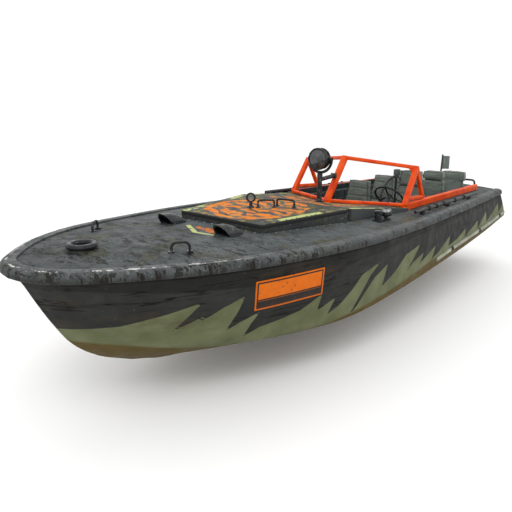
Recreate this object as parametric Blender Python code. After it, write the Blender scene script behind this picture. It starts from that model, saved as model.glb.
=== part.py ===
# Open patrol speedboat, 7 metres long. +X is port, -Y is the bow, +Z is up, metres.
# The origin is at the middle of the length, in the centre plane, at the waterline.
import math

import bpy
import bmesh
from mathutils import Vector

GAP = 0.0003              # clearance between flat faces that touch
REST = 0.0008             # clearance over a curved surface, and along seams of the plating
BOW_END = -1.44           # aft face of the decked, closed bow and forward edge of the hatch opening
STERN = 3.50              # aft face of the transom
TRANSOM = 0.06
BOTTOM = 0.05             # thickness of the bottom plating
DECK = 0.025              # thickness of the deck plates
CAP_STEP = 0.012          # the rail's cap stands this much above the deck's edge
CAMBER = 0.040            # rise of the deck's middle over its edge
RAIL_OUT = 0.031          # from the cap's edge out to the hull's side under the rail
AFT_DECK = 3.20           # forward edge of the aft deck
SOLE = -0.08              # top of the cockpit floor
SOLE_T = 0.03

LID_Z = 0.600             # top of the engine hatch lid
LID_T = 0.035
LID_FRONT = (-1.52, 0.51)       # y and half width of the lid's forward edge
LID_AFT = (-0.42, 0.69)         # y and half width of its aft edge, at the hinge
COAMING_W = 0.07
LID_OPEN_GAP = 0.006      # gap round the lid's aft edge, at the hinge
COWL_AFT = (0.265, 0.66, 0.80)  # y in the middle, y at the side, half width of the cowl's aft edge
COWL_AFT_Z = (0.489, 0.469)     # its top there, in the middle and at the side

COCKPIT_RAIL = ((0.665, 0.758), (1.165, 0.742), (1.8, 0.722), (2.5, 0.695), (3.12, 0.662))     # y, x
COCKPIT_RAIL_HALF, COCKPIT_RAIL_H = 0.026, 0.078

LAMP = Vector((0.0, 0.08, 1.00))     # where the searchlight's pan and tilt axes cross
LAMP_R = 0.120
LAMP_FACE = -0.0585        # its glass end, from the tilt axis
YOKE_R = 0.148
YOKE_FOOT = 0.838         # top of the fixed post
POST_R = 0.027

WHEEL = Vector((0.36, 1.04, 0.50))   # centre of the steering wheel
WHEEL_R = 0.175
WHEEL_TILT = math.radians(47)        # of its axis from upright, leaning aft
SEAT_XS = (("port", 0.38), ("starboard", -0.35))
SEAT_ROWS = (1.60, 2.30, 3.00)       # y of the backs
BACK_TOP = 0.595
# Head pads of the port seats: foot, top, half width
HEADS = ((0.56, 0.760, 0.135), (0.61, 0.690, 0.135), (0.50, 0.620, 0.170))
SEAT_W = 0.42
LOCKER_TOP = 0.09

SHAFT_TILT = math.radians(8)
PROP = Vector((0.0, 2.86, -0.565))   # centre of the propeller
PROP_R = 0.175
SHAFT_R = 0.016
RUDDER_Y = 3.22

# Lines plan: each long line of the hull runs from the stem to the transom.
# The columns are y, half breadth x, height z.
RAIL_LINE = ((-3.42, 0.0, 0.572), (-3.385, 0.16, 0.570), (-3.28, 0.325, 0.566), (-2.98, 0.592, 0.566),
             (-2.54, 0.83, 0.554), (-1.93, 1.005, 0.524), (-1.0, 1.134, 0.486), (0.0, 1.134, 0.449),
             (1.2, 1.07, 0.418), (2.4, 0.975, 0.385), (3.5, 0.868, 0.352))
CHINE_LINE = ((-3.10, 0.012, -0.06), (-3.0, 0.11, -0.08), (-2.86, 0.22, -0.10), (-2.6, 0.42, -0.13),
              (-2.25, 0.62, -0.165), (-1.7, 0.85, -0.195), (-0.9, 1.06, -0.20), (0.0, 1.13, -0.14),
              (1.2, 1.12, -0.045), (2.4, 1.07, 0.0), (3.5, 0.985, 0.03))
BILGE_LINE = ((-2.86, 0.012, -0.27), (-2.75, 0.10, -0.285), (-2.6, 0.20, -0.30), (-2.35, 0.36, -0.315),
              (-2.0, 0.56, -0.32), (-1.5, 0.78, -0.325), (-0.9, 0.95, -0.31), (0.0, 1.01, -0.26),
              (1.2, 1.02, -0.20), (2.4, 0.98, -0.135), (3.5, 0.91, -0.07))
KEEL_LINE = ((-2.54, 0.0, -0.422), (-2.40, 0.0, -0.465), (-2.28, 0.0, -0.504), (-2.05, 0.0, -0.55),
             (-1.8, 0.0, -0.575), (-1.4, 0.0, -0.583), (-0.9, 0.0, -0.57), (0.0, 0.0, -0.52),
             (1.2, 0.0, -0.44), (2.4, 0.0, -0.36), (3.5, 0.0, -0.29))
# Inner face of the side boxes: y, x
LINER = ((BOW_END, 0.44), (-0.42, 0.62), (0.60, 0.72), (AFT_DECK, 0.60))

RIM = 0.10                # the deck is level this far in from its edge
CAMBER_FROM, CAMBER_FULL = -3.33, -2.70     # y where the camber starts and where it is whole


# Materials
def material(name, rgb, rough, metal=0.0):
    m = bpy.data.materials.new(name)
    m.use_nodes = True
    shader = m.node_tree.nodes["Principled BSDF"]
    shader.inputs["Base Color"].default_value = (*rgb, 1.0)
    shader.inputs["Roughness"].default_value = rough
    shader.inputs["Metallic"].default_value = metal
    return m


def paint():
    return {
        "hull": ((0.055, 0.055, 0.058), 0.6, 0.0),
        "deck": ((0.10, 0.11, 0.12), 0.65, 0.0),
        "orange": ((0.85, 0.11, 0.02), 0.45, 0.0),
        "lid": ((0.45, 0.17, 0.04), 0.6, 0.0),
        "dark": ((0.03, 0.032, 0.035), 0.5, 0.3),
        "canvas": ((0.17, 0.19, 0.165), 0.9, 0.0),
        "glass": ((0.12, 0.13, 0.14), 0.1, 0.0),
        "bronze": ((0.55, 0.36, 0.14), 0.35, 1.0),
        "steel": ((0.35, 0.36, 0.37), 0.4, 1.0),
        "inside": ((0.06, 0.065, 0.07), 0.7, 0.0),
    }


# Curves
def dense(line, steps=16):
    """Points along a smooth curve through a line's rows, as (x, y, z)."""
    p = [Vector((x, y, z)) for y, x, z in line]
    p = [2 * p[0] - p[1]] + p + [2 * p[-1] - p[-2]]
    out = []
    for a, b, c, d in zip(p, p[1:], p[2:], p[3:]):
        for k in range(steps):
            t = k / steps
            out.append(0.5 * (2 * b + (c - a) * t + (2 * a - 5 * b + 4 * c - d) * t * t
                              + (3 * b - a - 3 * c + d) * t ** 3))
    out.append(p[-2])
    return out


def at_y(points, y):
    """The point of a dense line at a given y."""
    for a, b in zip(points, points[1:]):
        if a.y <= y <= b.y:
            return a.lerp(b, (y - a.y) / (b.y - a.y))
    return points[0].copy() if y < points[0].y else points[-1].copy()


def at_share(points, y_end, share):
    """The point at a share of the length of a line, from its start to y_end."""
    run = [p for p in points if p.y < y_end] + [at_y(points, y_end)]
    length = [0.0]
    for a, b in zip(run, run[1:]):
        length.append(length[-1] + (b - a).length)
    s = length[-1] * share
    i = max(j for j in range(len(run) - 1) if length[j] <= s + 1e-12)
    return run[i].lerp(run[i + 1], (s - length[i]) / (length[i + 1] - length[i]))


def table(rows, y):
    """Straight interpolation in a table of (y, value) rows."""
    if y <= rows[0][0]:
        return rows[0][1]
    for (y0, v0), (y1, v1) in zip(rows, rows[1:]):
        if y <= y1:
            return v0 + (v1 - v0) * (y - y0) / (y1 - y0)
    return rows[-1][1]


RAIL = dense(RAIL_LINE, 4)
CHINE = dense(CHINE_LINE)
BILGE = dense(BILGE_LINE)
KEEL = dense(KEEL_LINE)


def outward(points, i):
    """Outward direction, in plan, of a line at its point i; square to the ends."""
    if i == 0:
        return Vector((0, -1, 0))
    if i == len(points) - 1:
        return Vector((1, 0, 0))
    d = points[i + 1] - points[i - 1]
    return Vector((d.y, -d.x, 0)).normalized()


# The deck's edge, which is also the top of the hull's side
GUNWALE = [RAIL[i] + outward(RAIL, i) * RAIL_OUT - Vector((0, 0, CAP_STEP)) for i in range(len(RAIL))]
# Stations of the plating aft of the bow
SIDE_YS = [p.y for p in GUNWALE if BOW_END + 0.05 < p.y < STERN - TRANSOM - 0.05]
SIDE_YS = [BOW_END] + SIDE_YS + [STERN - TRANSOM]
LINER_AT = [(y, table(LINER, y)) for y in SIDE_YS]


def liner_x(y):
    """Inner face of the side boxes, straight between the stations of the plating."""
    return table(LINER_AT, y)


def deck_z(x, y):
    edge = at_y(GUNWALE, y)
    if edge.x <= RIM:
        return edge.z
    rise = CAMBER * min(max((y - CAMBER_FROM) / (CAMBER_FULL - CAMBER_FROM), 0.0), 1.0)
    return edge.z + rise * (1 - min(abs(x) / (edge.x - RIM), 1.0) ** 2)


def rim_x(y):
    """Where the deck's level rim ends, as a half width."""
    half = max(at_y(GUNWALE, y).x, 0.012)
    return max(half - RIM, half * 0.25)


def cowl_z(x, y):
    (y_mid, y_side, half), (z_mid, z_side) = COWL_AFT, COWL_AFT_Z
    u = min(abs(x) / half, 1.0)
    y_end, z_end = y_mid + (y_side - y_mid) * u, z_mid + (z_side - z_mid) * u
    return LID_Z + (z_end - LID_Z) * (y - LID_AFT[0]) / (y_end - LID_AFT[0])


def under_deck(x, y):
    return deck_z(x, y) - DECK - REST


# Meshes
def node(name, verts, faces, mat, origin=None, smooth=None):
    """An object from world points, with its origin where it turns or stands."""
    origin = Vector(origin or (0, 0, 0))
    bm = bmesh.new()
    vs = [bm.verts.new(Vector(v) - origin) for v in verts]
    for f in faces:
        bm.faces.new([vs[i] for i in f])
    bmesh.ops.remove_doubles(bm, verts=bm.verts, dist=1e-6)
    bmesh.ops.triangulate(bm, faces=[f for f in bm.faces if len(f.verts) > 4])
    bmesh.ops.recalc_face_normals(bm, faces=bm.faces)
    mesh = bpy.data.meshes.new(name)
    bm.to_mesh(mesh)
    bm.free()
    mesh.materials.append(mat)
    ob = bpy.data.objects.new(name, mesh)
    ob.location = origin
    bpy.context.scene.collection.objects.link(ob)
    if smooth:
        mesh.shade_smooth()
        mesh.set_sharp_from_angle(angle=math.radians(smooth))
    return ob


def loft(name, rings, mat, origin=None, smooth=None, closed=False):
    """A closed body through rings of equal count; closed joins the last ring to the first."""
    n = len(rings[0])
    verts = [p for ring in rings for p in ring]
    faces = []
    count = len(rings) if closed else len(rings) - 1
    for k in range(count):
        a = k * n
        b = ((k + 1) % len(rings)) * n
        faces += [(a + i, a + (i + 1) % n, b + (i + 1) % n, b + i) for i in range(n)]
    if not closed:
        faces += [tuple(range(n - 1, -1, -1)), tuple(range(len(verts) - n, len(verts)))]
    return node(name, verts, faces, mat, origin, smooth)


def box(name, lo, hi, mat, origin=None, bevel=0.0):
    (x0, y0, z0), (x1, y1, z1) = lo, hi
    ring = lambda z: [(x0, y0, z), (x1, y0, z), (x1, y1, z), (x0, y1, z)]
    ob = loft(name, [ring(z0), ring(z1)], mat, origin)
    if bevel:
        m = ob.modifiers.new("edge", "BEVEL")
        m.width = bevel
        m.segments = 2
    return ob


def frame_of(direction, up=(0, 0, 1)):
    """Side and top directions square to a bar's own direction."""
    d = Vector(direction).normalized()
    side = d.cross(Vector(up))
    if side.length < 1e-4:
        side = d.cross(Vector((1, 0, 0)))
    side.normalize()
    return side, side.cross(d).normalized()


def bar(name, p, q, width, height, mat, up=(0, 0, 1), origin=None):
    """A rectangular bar from p to q."""
    p, q = Vector(p), Vector(q)
    side, top = frame_of(q - p, up)
    corners = []
    for sx, sz in ((-1, -1), (1, -1), (1, 1), (-1, 1)):
        corners.append(side * (sx * width / 2) + top * (sz * height / 2))
    return loft(name, [[p + c for c in corners], [q + c for c in corners]], mat, origin)


def round_bar(name, path, radius, mat, sides=12, origin=None, closed=False, radii=None):
    """A round tube or rod along a list of points."""
    path = [Vector(p) for p in path]
    rings = []
    last_side = None
    for i, p in enumerate(path):
        a = path[i - 1] if (i or closed) else p
        b = path[(i + 1) % len(path)] if (i + 1 < len(path) or closed) else p
        d = (b - a).normalized()
        if last_side is None:
            side, top = frame_of(d)
        else:
            side = (last_side - d * last_side.dot(d)).normalized()
            top = side.cross(d)
        last_side = side
        r = radii[i] if radii else radius
        ring = []
        for k in range(sides):
            turn = 2 * math.pi * k / sides
            ring.append(p + side * (r * math.cos(turn)) + top * (r * math.sin(turn)))
        rings.append(ring)
    return loft(name, rings, mat, origin, smooth=40, closed=closed)


def turned(name, centre, axis, profile, mat, sides=24, origin=None):
    """A body of revolution: profile rows are (distance along the axis, radius)."""
    axis = Vector(axis).normalized()
    path = [Vector(centre) + axis * s for s, r in profile]
    side, top = frame_of(axis)
    rings = []
    for p, (s, r) in zip(path, profile):
        ring = []
        for k in range(sides):
            turn = 2 * math.pi * k / sides
            ring.append(p + side * (r * math.cos(turn)) + top * (r * math.sin(turn)))
        rings.append(ring)
    return loft(name, rings, mat, origin, smooth=40)


def arc(centre, u, v, radius, start, end, steps):
    """Points on an arc in the plane of u and v, angles in degrees."""
    u, v, centre = Vector(u), Vector(v), Vector(centre)
    out = []
    for k in range(steps + 1):
        a = math.radians(start + (end - start) * k / steps)
        out.append(centre + u * (radius * math.cos(a)) + v * (radius * math.sin(a)))
    return out


def foot(name, x, y, size, top, ground, mat, sides=4):
    """A pad whose underside follows the surface that it stands on; size is (half x, half y)."""
    corners = []
    for k in range(sides):
        a = 2 * math.pi * (k + 0.5) / sides
        scale = math.sqrt(2) if sides == 4 else 1.0
        u, v = size[0] * scale * math.cos(a), size[1] * scale * math.sin(a)
        corners.append((x + u, y + v))
    low = [(cx, cy, ground(cx, cy) + REST) for cx, cy in corners]
    high = [(cx, cy, top) for cx, cy in corners]
    return loft(name, [low, high], mat)


def guide(ob):
    ob.hide_render = True
    ob.display_type = "WIRE"
    return ob


def fuse(base, *others):
    """Boolean union of other bodies into one node."""
    for ob in others:
        m = base.modifiers.new("join", "BOOLEAN")
        m.operation = "UNION"
        m.object = guide(ob)
    return base


def cut(base, *others):
    for ob in others:
        m = base.modifiers.new("cut", "BOOLEAN")
        m.operation = "DIFFERENCE"
        m.object = guide(ob)
    return base


# Hull
def half_section(g, c, b, k, steps=3):
    """Smooth half section from the gunwale round the bilge to the keel, as world points."""
    p = [2 * g - c, g, c, b, k, 2 * k - b]
    out = []
    for a0, a1, a2, a3 in zip(p, p[1:], p[2:], p[3:]):
        for i in range(steps):
            t = i / steps
            s = 0.5 * (2 * a1 + (a2 - a0) * t + (2 * a0 - 5 * a1 + 4 * a2 - a3) * t * t
                       + (3 * a1 - a0 - 3 * a2 + a3) * t ** 3)
            out.append(a1.lerp(a2, t).lerp(s, 0.75))
    out.append(k)
    return out


def mirror(points):
    return [Vector((-p.x, p.y, p.z)) for p in points]


def section_at(y):
    """Half section in the plane at y."""
    g, c, b, k = (at_y(line, y) for line in (GUNWALE, CHINE, BILGE, KEEL))
    g.z = under_deck(g.x, y)
    return half_section(g, c, b, k)


def inset(points, depth):
    """Points moved square to a half section, towards the inside."""
    out = []
    for i, p in enumerate(points):
        a = points[max(i - 1, 0)]
        b = points[min(i + 1, len(points) - 1)]
        d = (b - a).normalized()
        n = Vector((d.z, 0, -d.x))
        if n.z < 0:
            n = -n
        if i == len(points) - 1:
            n = Vector((0, 0, 1))
        out.append(p + n * depth)
    return out


BILGE_AT = 6      # index of the bilge in a half section


def deck_line(y):
    """Points under the deck from the starboard rim to the port rim."""
    rim = rim_x(y)
    return [Vector((rim * s, y, under_deck(rim * s, y))) for s in (-1, -0.5, 0, 0.5, 1)]


def hull_bow(mats):
    shares = [0.0]
    run = [p for p in GUNWALE if p.y < BOW_END - 0.05] + [at_y(GUNWALE, BOW_END)]
    for a, b in zip(run, run[1:]):
        shares.append(shares[-1] + (b - a).length)
    rings = []
    for g, share in zip(run, shares):
        g = Vector((max(g.x, 0.012), g.y, under_deck(g.x, g.y)))
        c, b, k = (at_share(line, BOW_END, share / shares[-1]) for line in (CHINE, BILGE, KEEL))
        half = half_section(g, c, b, k)
        for p in half[:-1]:
            p.x = max(p.x, 0.010)
        rings.append(deck_line(g.y) + half + mirror(half[:-1])[::-1])
    loft("hull_bow", rings, mats["hull"], smooth=35)


def plating_ys():
    return [SIDE_YS[0] + GAP] + SIDE_YS[1:-1] + [SIDE_YS[-1] - GAP]


def hull_bottom(mats):
    rings = []
    for y in plating_ys():
        outer = section_at(y)[BILGE_AT:]
        inner = inset(section_at(y), BOTTOM)[BILGE_AT:]
        rings.append(outer + mirror(outer[:-1])[::-1] + mirror(inner[:-1]) + inner[::-1])
    loft("hull_bottom", rings, mats["hull"], smooth=35)


def keel_z(y):
    """Height of the keel's underside, straight between the stations of the plating."""
    ys = [y0 for y0 in SIDE_YS if y0 <= y] or [SIDE_YS[0]]
    y0 = ys[-1]
    later = [y1 for y1 in SIDE_YS if y1 > y0]
    if not later:
        return at_y(KEEL, y0).z
    a, b = at_y(KEEL, y0), at_y(KEEL, later[0])
    return a.z + (b.z - a.z) * (y - y0) / (later[0] - y0)


def inner_bottom_z(y, x, lift):
    inner = inset(section_at(y), BOTTOM)[BILGE_AT:]
    for a, b in zip(inner, inner[1:]):
        if b.x <= x <= a.x:
            return a.z + (b.z - a.z) * (x - a.x) / (b.x - a.x) + lift
    return inner[0].z + lift


def hull_side(name, side, mats):
    """Side box: outer plating, and the inner face that lines the engine bay and the cockpit."""
    rings = []
    for y in plating_ys():
        outer = section_at(y)[:BILGE_AT + 1]
        inner = inset(section_at(y), BOTTOM)
        seam = (outer[-2] - outer[-1]).normalized() * 2 * REST
        lap = inner[BILGE_AT] + seam + Vector((0, 0, REST))
        x = liner_x(y)
        ring = outer[:-1] + [outer[-1] + seam, lap,
                             Vector((x, y, inner_bottom_z(y, x, 2 * REST))),
                             Vector((x, y, under_deck(x, y)))]
        for share in (0.5, 1.0):
            mid = x + (rim_x(y) - x) * share
            ring.append(Vector((mid, y, under_deck(mid, y))))
        rings.append(ring if side > 0 else mirror(ring))
    loft(name, rings, mats["hull"], smooth=35)


def transom(mats):
    rings = []
    for y in (STERN - TRANSOM, STERN):
        half = section_at(STERN)
        for p in half:
            p.y = y
        top = deck_line(STERN)
        for p in top:
            p.y = y
        rings.append(top + half + mirror(half[:-1])[::-1])
    loft("transom", rings, mats["hull"])


def skeg_and_stern_tube(mats):
    """Keel bar under the bottom, with the tube that the propeller shaft leaves by."""
    rings = []
    rows = ((-1.30, 0.020, 0.012), (-0.6, 0.024, 0.03), (0.4, 0.026, 0.05), (1.2, 0.028, 0.085),
            (1.75, 0.028, 0.135), (2.0, 0.024, 0.14))
    ys = sorted({y for y, h, d in rows} | {y for y in SIDE_YS if rows[0][0] < y < rows[-1][0]})
    for y in ys:
        half, depth = table([(r[0], r[1]) for r in rows], y), table([(r[0], r[2]) for r in rows], y)
        z = keel_z(y) - REST
        rings.append([(half, y, z), (half, y, z - depth * 0.8), (0, y, z - depth),
                      (-half, y, z - depth * 0.8), (-half, y, z)])
    skeg = loft("keel_bar", rings, mats["hull"])
    direction = Vector((0, math.cos(SHAFT_TILT), -math.sin(SHAFT_TILT)))
    end = PROP - direction * 0.62
    tube = round_bar("stern_tube_guide", [end - direction * 0.30, end], 0.036, mats["hull"])
    fuse(skeg, tube)


# Decks and rails
def deck_plate(name, stations, sides, mats, columns):
    """A cambered plate; sides(y) gives the xs of its inner columns' ends and of its edges."""
    rings = []
    for y in stations:
        low_edge, x0, x1, high_edge = sides(y)
        xs = [x0 + (x1 - x0) * i / columns for i in range(columns + 1)]
        if low_edge is not None:
            xs = [low_edge] + xs
        if high_edge is not None:
            xs = xs + [high_edge]
        top = [Vector((x, y, deck_z(x, y))) for x in xs]
        low = [Vector((x, y, deck_z(x, y) - DECK)) for x in xs]
        rings.append(top + low[::-1])
    return loft(name, rings, mats["deck"], smooth=30)


def decks(mats):
    half = lambda y: max(at_y(GUNWALE, y).x, 0.012)
    whole = lambda y: (-half(y), -rim_x(y), rim_x(y), half(y))
    bow_ys = [p.y for p in GUNWALE if p.y < BOW_END - 0.05] + [BOW_END]
    deck_plate("foredeck", bow_ys, whole, mats, 12)
    side_ys = [BOW_END + GAP] + [y for y in SIDE_YS[1:-1] if y < AFT_DECK - 0.04] + [AFT_DECK - GAP]
    deck_plate("side_deck_port", side_ys, lambda y: (None, liner_x(y), rim_x(y), half(y)), mats, 4)
    deck_plate("side_deck_starboard", side_ys, lambda y: (-half(y), -rim_x(y), -liner_x(y), None), mats, 4)
    aft_ys = [AFT_DECK] + [p.y for p in GUNWALE if p.y > AFT_DECK + 0.02]
    deck_plate("aft_deck", aft_ys, whole, mats, 12)


# Outside of the rail's section: distance out from the cap's edge, height over it
RAIL_PROFILE = ((-0.055, -0.004), (-0.046, 0.003), (-0.012, 0.005), (0.014, 0.003), (0.036, -0.004),
                (0.053, -0.021), (0.060, -0.044), (0.059, -0.062), (0.055, -0.070))


def rub_rail(name, side, mats):
    """Rail cap that laps the deck's edge and the top of the hull's side."""
    rings = []
    for i, p in enumerate(RAIL):
        n = outward(RAIL, i)
        if i == 0:
            p = p + Vector((2 * GAP, 0, 0))
        edge = RAIL_OUT + (REST if i else 5 * REST)
        lean = 0.0
        if p.y > BOW_END:
            half = section_at(p.y)
            lean = max((half[1].x - half[0].x) / (half[0].z - half[1].z), 0.0)
        points = list(RAIL_PROFILE) + [(edge + lean * 0.06, -0.070)]
        ring = [p + n * u + Vector((0, 0, w)) for u, w in points]
        for u in (edge, -0.055):
            seat_at = p + n * u
            ring.append(Vector((seat_at.x, seat_at.y, deck_z(seat_at.x, seat_at.y) + REST)))
        rings.append(ring if side > 0 else mirror(ring))
    loft(name, rings, mats["deck"], smooth=30)


def stern_rail(mats):
    half = at_y(GUNWALE, STERN).x
    rings = []
    for x in (-half, -half / 2, 0, half / 2, half):
        top = deck_z(x, STERN)
        y0 = STERN + GAP
        rings.append([(x, y0, top - 0.058), (x, y0, top + 0.006), (x, y0 + 0.016, top + 0.006),
                      (x, y0 + 0.034, top - 0.014), (x, y0 + 0.034, top - 0.058)])
    loft("rub_rail_stern", rings, mats["deck"])


# Hatch and cowl
def lid_outline(inset_by, aft_gap=0.0):
    (y0, w0), (y1, w1) = LID_FRONT, LID_AFT
    y0, y1, w0, w1 = y0 + inset_by, y1 - inset_by - aft_gap, w0 - inset_by, w1 - inset_by
    return [(-w0, y0), (w0, y0), (w1, y1), (-w1, y1)]


def hatch(mats):
    outer, inner = lid_outline(0.004), lid_outline(COAMING_W)
    rings = []
    top = LID_Z - LID_T - GAP
    steps = 8
    for k in range(4):
        for i in range(steps):
            t = i / steps
            xo, yo = (outer[k][j] + (outer[(k + 1) % 4][j] - outer[k][j]) * t for j in (0, 1))
            xi, yi = (inner[k][j] + (inner[(k + 1) % 4][j] - inner[k][j]) * t for j in (0, 1))
            rings.append([(xo, yo, deck_z(xo, yo) + REST), (xo, yo, top),
                          (xi, yi, top), (xi, yi, deck_z(xi, yi) + REST)])
    loft("hatch_coaming", rings, mats["deck"], closed=True)
    edge = lid_outline(0.0, LID_OPEN_GAP)
    low = [(x, y, LID_Z - LID_T) for x, y in edge]
    high = [(x, y, LID_Z) for x, y in edge]
    hinge = (0, LID_AFT[0], LID_Z)
    lid = loft("hatch_lid", [low, high], mats["lid"], origin=hinge)
    m = lid.modifiers.new("edge", "BEVEL")
    m.width = 0.006
    m.segments = 2


def cowl(mats):
    """Fixed cover between the lid and the windscreen, sloping down aft to a V."""
    (y_mid, y_side, half_aft), (z_mid, z_side) = COWL_AFT, COWL_AFT_Z
    y_front, half_front = LID_AFT
    columns, rows = 12, 6
    rings = []
    for r in range(rows + 1):
        t = r / rows
        top, low = [], []
        for c in range(columns + 1):
            u = 2 * c / columns - 1
            x = u * (half_front + (half_aft - half_front) * t)
            y_end = y_mid + (y_side - y_mid) * abs(u)
            y = y_front + (y_end - y_front) * t
            z_end = z_mid + (z_side - z_mid) * abs(u)
            top.append(Vector((x, y, LID_Z + (z_end - LID_Z) * t)))
            low.append(Vector((x, y, deck_z(x, y) + REST)))
        rings.append(top + low[::-1])
    loft("cowl", rings, mats["lid"])


# Deck fittings
def scoop(name, side, mats):
    """Low air scoop whose mouth faces the bow and leans forward at the top."""
    x0, y0 = 0.35 * side, -1.83
    width, height, lean = 0.088, 0.100, 0.072
    rings = []
    for y, k, rake in ((y0, 1.0, lean), (-1.77, 0.97, 0.040), (-1.71, 0.72, 0.012), (-1.66, 0.36, 0)):
        ring = [(x0, y, deck_z(x0, y) + REST)]
        for i in range(11):
            a = math.pi * i / 10
            x, rise = x0 + width * math.cos(a) * (0.72 + 0.28 * k), math.sin(a)
            ring.append((x, y - rake * rise, deck_z(x, y) + REST + height * k * rise))
        rings.append(ring)
    body = loft(name, rings, mats["dark"], smooth=40)
    floor = deck_z(x0, y0) + 0.010
    mouth = []
    for y, k, rake in ((y0 - 0.02, 1.0, lean), (y0 + 0.08, 0.84, lean * 0.5)):
        ring = []
        for i in range(11):
            a = math.pi * i / 10
            rise = math.sin(a)
            ring.append((x0 + (width - 0.010) * math.cos(a) * k, y - rake * rise,
                         floor + (height - 0.022) * k * rise))
        mouth.append(ring)
    cut(body, loft(name + "_mouth", mouth, mats["dark"]))


def hoop(c, d, half, high, bend, steps=4):
    """Path of a handle: two upright legs and a straight top with rounded corners."""
    up = Vector((0, 0, 1))
    path = [c - d * half]
    path += arc(c - d * (half - bend) + up * (high - bend), -d, up, bend, 0, 90, steps)
    path += arc(c + d * (half - bend) + up * (high - bend), d, up, bend, 90, 0, steps)
    path += [c + d * half]
    return path


def fittings(mats):
    x, y, r, tube = -0.03, -2.90, 0.090, 0.024
    z = max(deck_z(x + r * math.cos(a / 4), y + r * math.sin(a / 4)) for a in range(26)) + tube + GAP
    ring = arc((x, y, z), (1, 0, 0), (0, 1, 0), r, 0, 360, 24)[:-1]
    round_bar("bow_ring", ring, tube, mats["dark"], closed=True)
    for name, side in (("deck_handle_port", 1), ("deck_handle_starboard", -1)):
        d = Vector((0.62 * side, 0.78, 0)).normalized()
        c = Vector((0.535 * side, -2.455, deck_z(0.535, -2.455)))
        half = 0.066
        path = hoop(c + Vector((0, 0, 0.008)), d, half, 0.070, 0.040, 5)
        loop = round_bar(name, path, 0.0105, mats["dark"], sides=10)
        feet = []
        for i, s in enumerate((-1, 1)):
            f = c + d * (half * s)
            feet.append(foot(name + "_foot%d" % i, f.x, f.y, (0.026, 0.026), f.z + 0.014, deck_z,
                             mats["dark"], 10))
        fuse(loop, *feet)
    hinge = (0, LID_AFT[0], LID_Z)
    x, y = -0.090, -0.975
    ring = arc((x, y, LID_Z + 0.098), (0.85, 0.53, 0), (0, 0, 1), 0.040, 0, 360, 20)[:-1]
    lid_ring = round_bar("lid_ring", ring, 0.010, mats["dark"], sides=10, closed=True, origin=hinge)
    stem = turned("lid_ring_stem", (x, y, LID_Z + GAP), (0, 0, 1),
                  ((0, 0.036), (0.012, 0.033), (0.020, 0.018), (0.062, 0.014)), mats["dark"], 12)
    fuse(lid_ring, stem)
    handles = (("lid_handle_fore", (0.035, -0.890), 45, 0.080), ("lid_handle_aft", (0.16, -0.74), 10, 0.095))
    for name, centre, turn, half in handles:
        a = math.radians(turn)
        d = Vector((math.cos(a), math.sin(a), 0))
        c = Vector((centre[0], centre[1], LID_Z + GAP))
        loop = round_bar(name, hoop(c, d, half, 0.075, 0.022), 0.0105, mats["dark"], sides=10, origin=hinge)
        feet = []
        for i, s in enumerate((-1, 1)):
            feet.append(turned(name + "_foot%d" % i, c + d * (half * s), (0, 0, 1),
                               ((0, 0.026), (0.012, 0.022)), mats["dark"], 12))
        fuse(loop, *feet)


def pole(name, start, end, radius, mats):
    """A spar on three stands along the side deck; start and end are (x, y, height over the deck)."""
    start, end = (Vector((x, y, deck_z(x, y) + lift)) for x, y, lift in (start, end))
    round_bar(name, [start, end], radius, mats["dark"], sides=10)
    half = 0.03
    fall = (start.z - end.z) / (end.y - start.y) * half
    under = radius * math.cos(math.pi / 10) + fall + 2 * GAP
    for tag, y in (("fore", 0.62), ("mid", 1.38), ("aft", 2.16)):
        p = start.lerp(end, (y - start.y) / (end.y - start.y))
        foot(name + "_stand_" + tag, p.x, y, (radius, half), p.z - under, deck_z, mats["dark"])


def deck_light(mats):
    """Bitt with a domed lamp behind it, on the port side deck."""
    x, y = 0.862, -0.075
    z = deck_z(x, y)
    base = foot("deck_light", x, y, (0.045, 0.105), z + 0.018, deck_z, mats["dark"])
    bitt = turned("deck_light_bitt", (x - 0.010, y - 0.050, z + 0.010), (0, 0, 1),
                  ((0, 0.036), (0.065, 0.032), (0.072, 0.040), (0.092, 0.040), (0.100, 0.030)),
                  mats["dark"], 14)
    stalk = turned("deck_light_stalk", (x + 0.016, y + 0.066, z + 0.010), (0, 0, 1),
                   ((0, 0.030), (0.012, 0.022), (0.04, 0.020)), mats["dark"], 12)
    lamp = turned("deck_light_lamp", (x + 0.020, y + 0.074, z + 0.044), (0, -0.25, 1),
                  ((0, 0.034), (0.008, 0.052), (0.030, 0.054), (0.050, 0.045), (0.066, 0.024)),
                  mats["dark"], 18)
    fuse(base, bitt, stalk, lamp)


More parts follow.
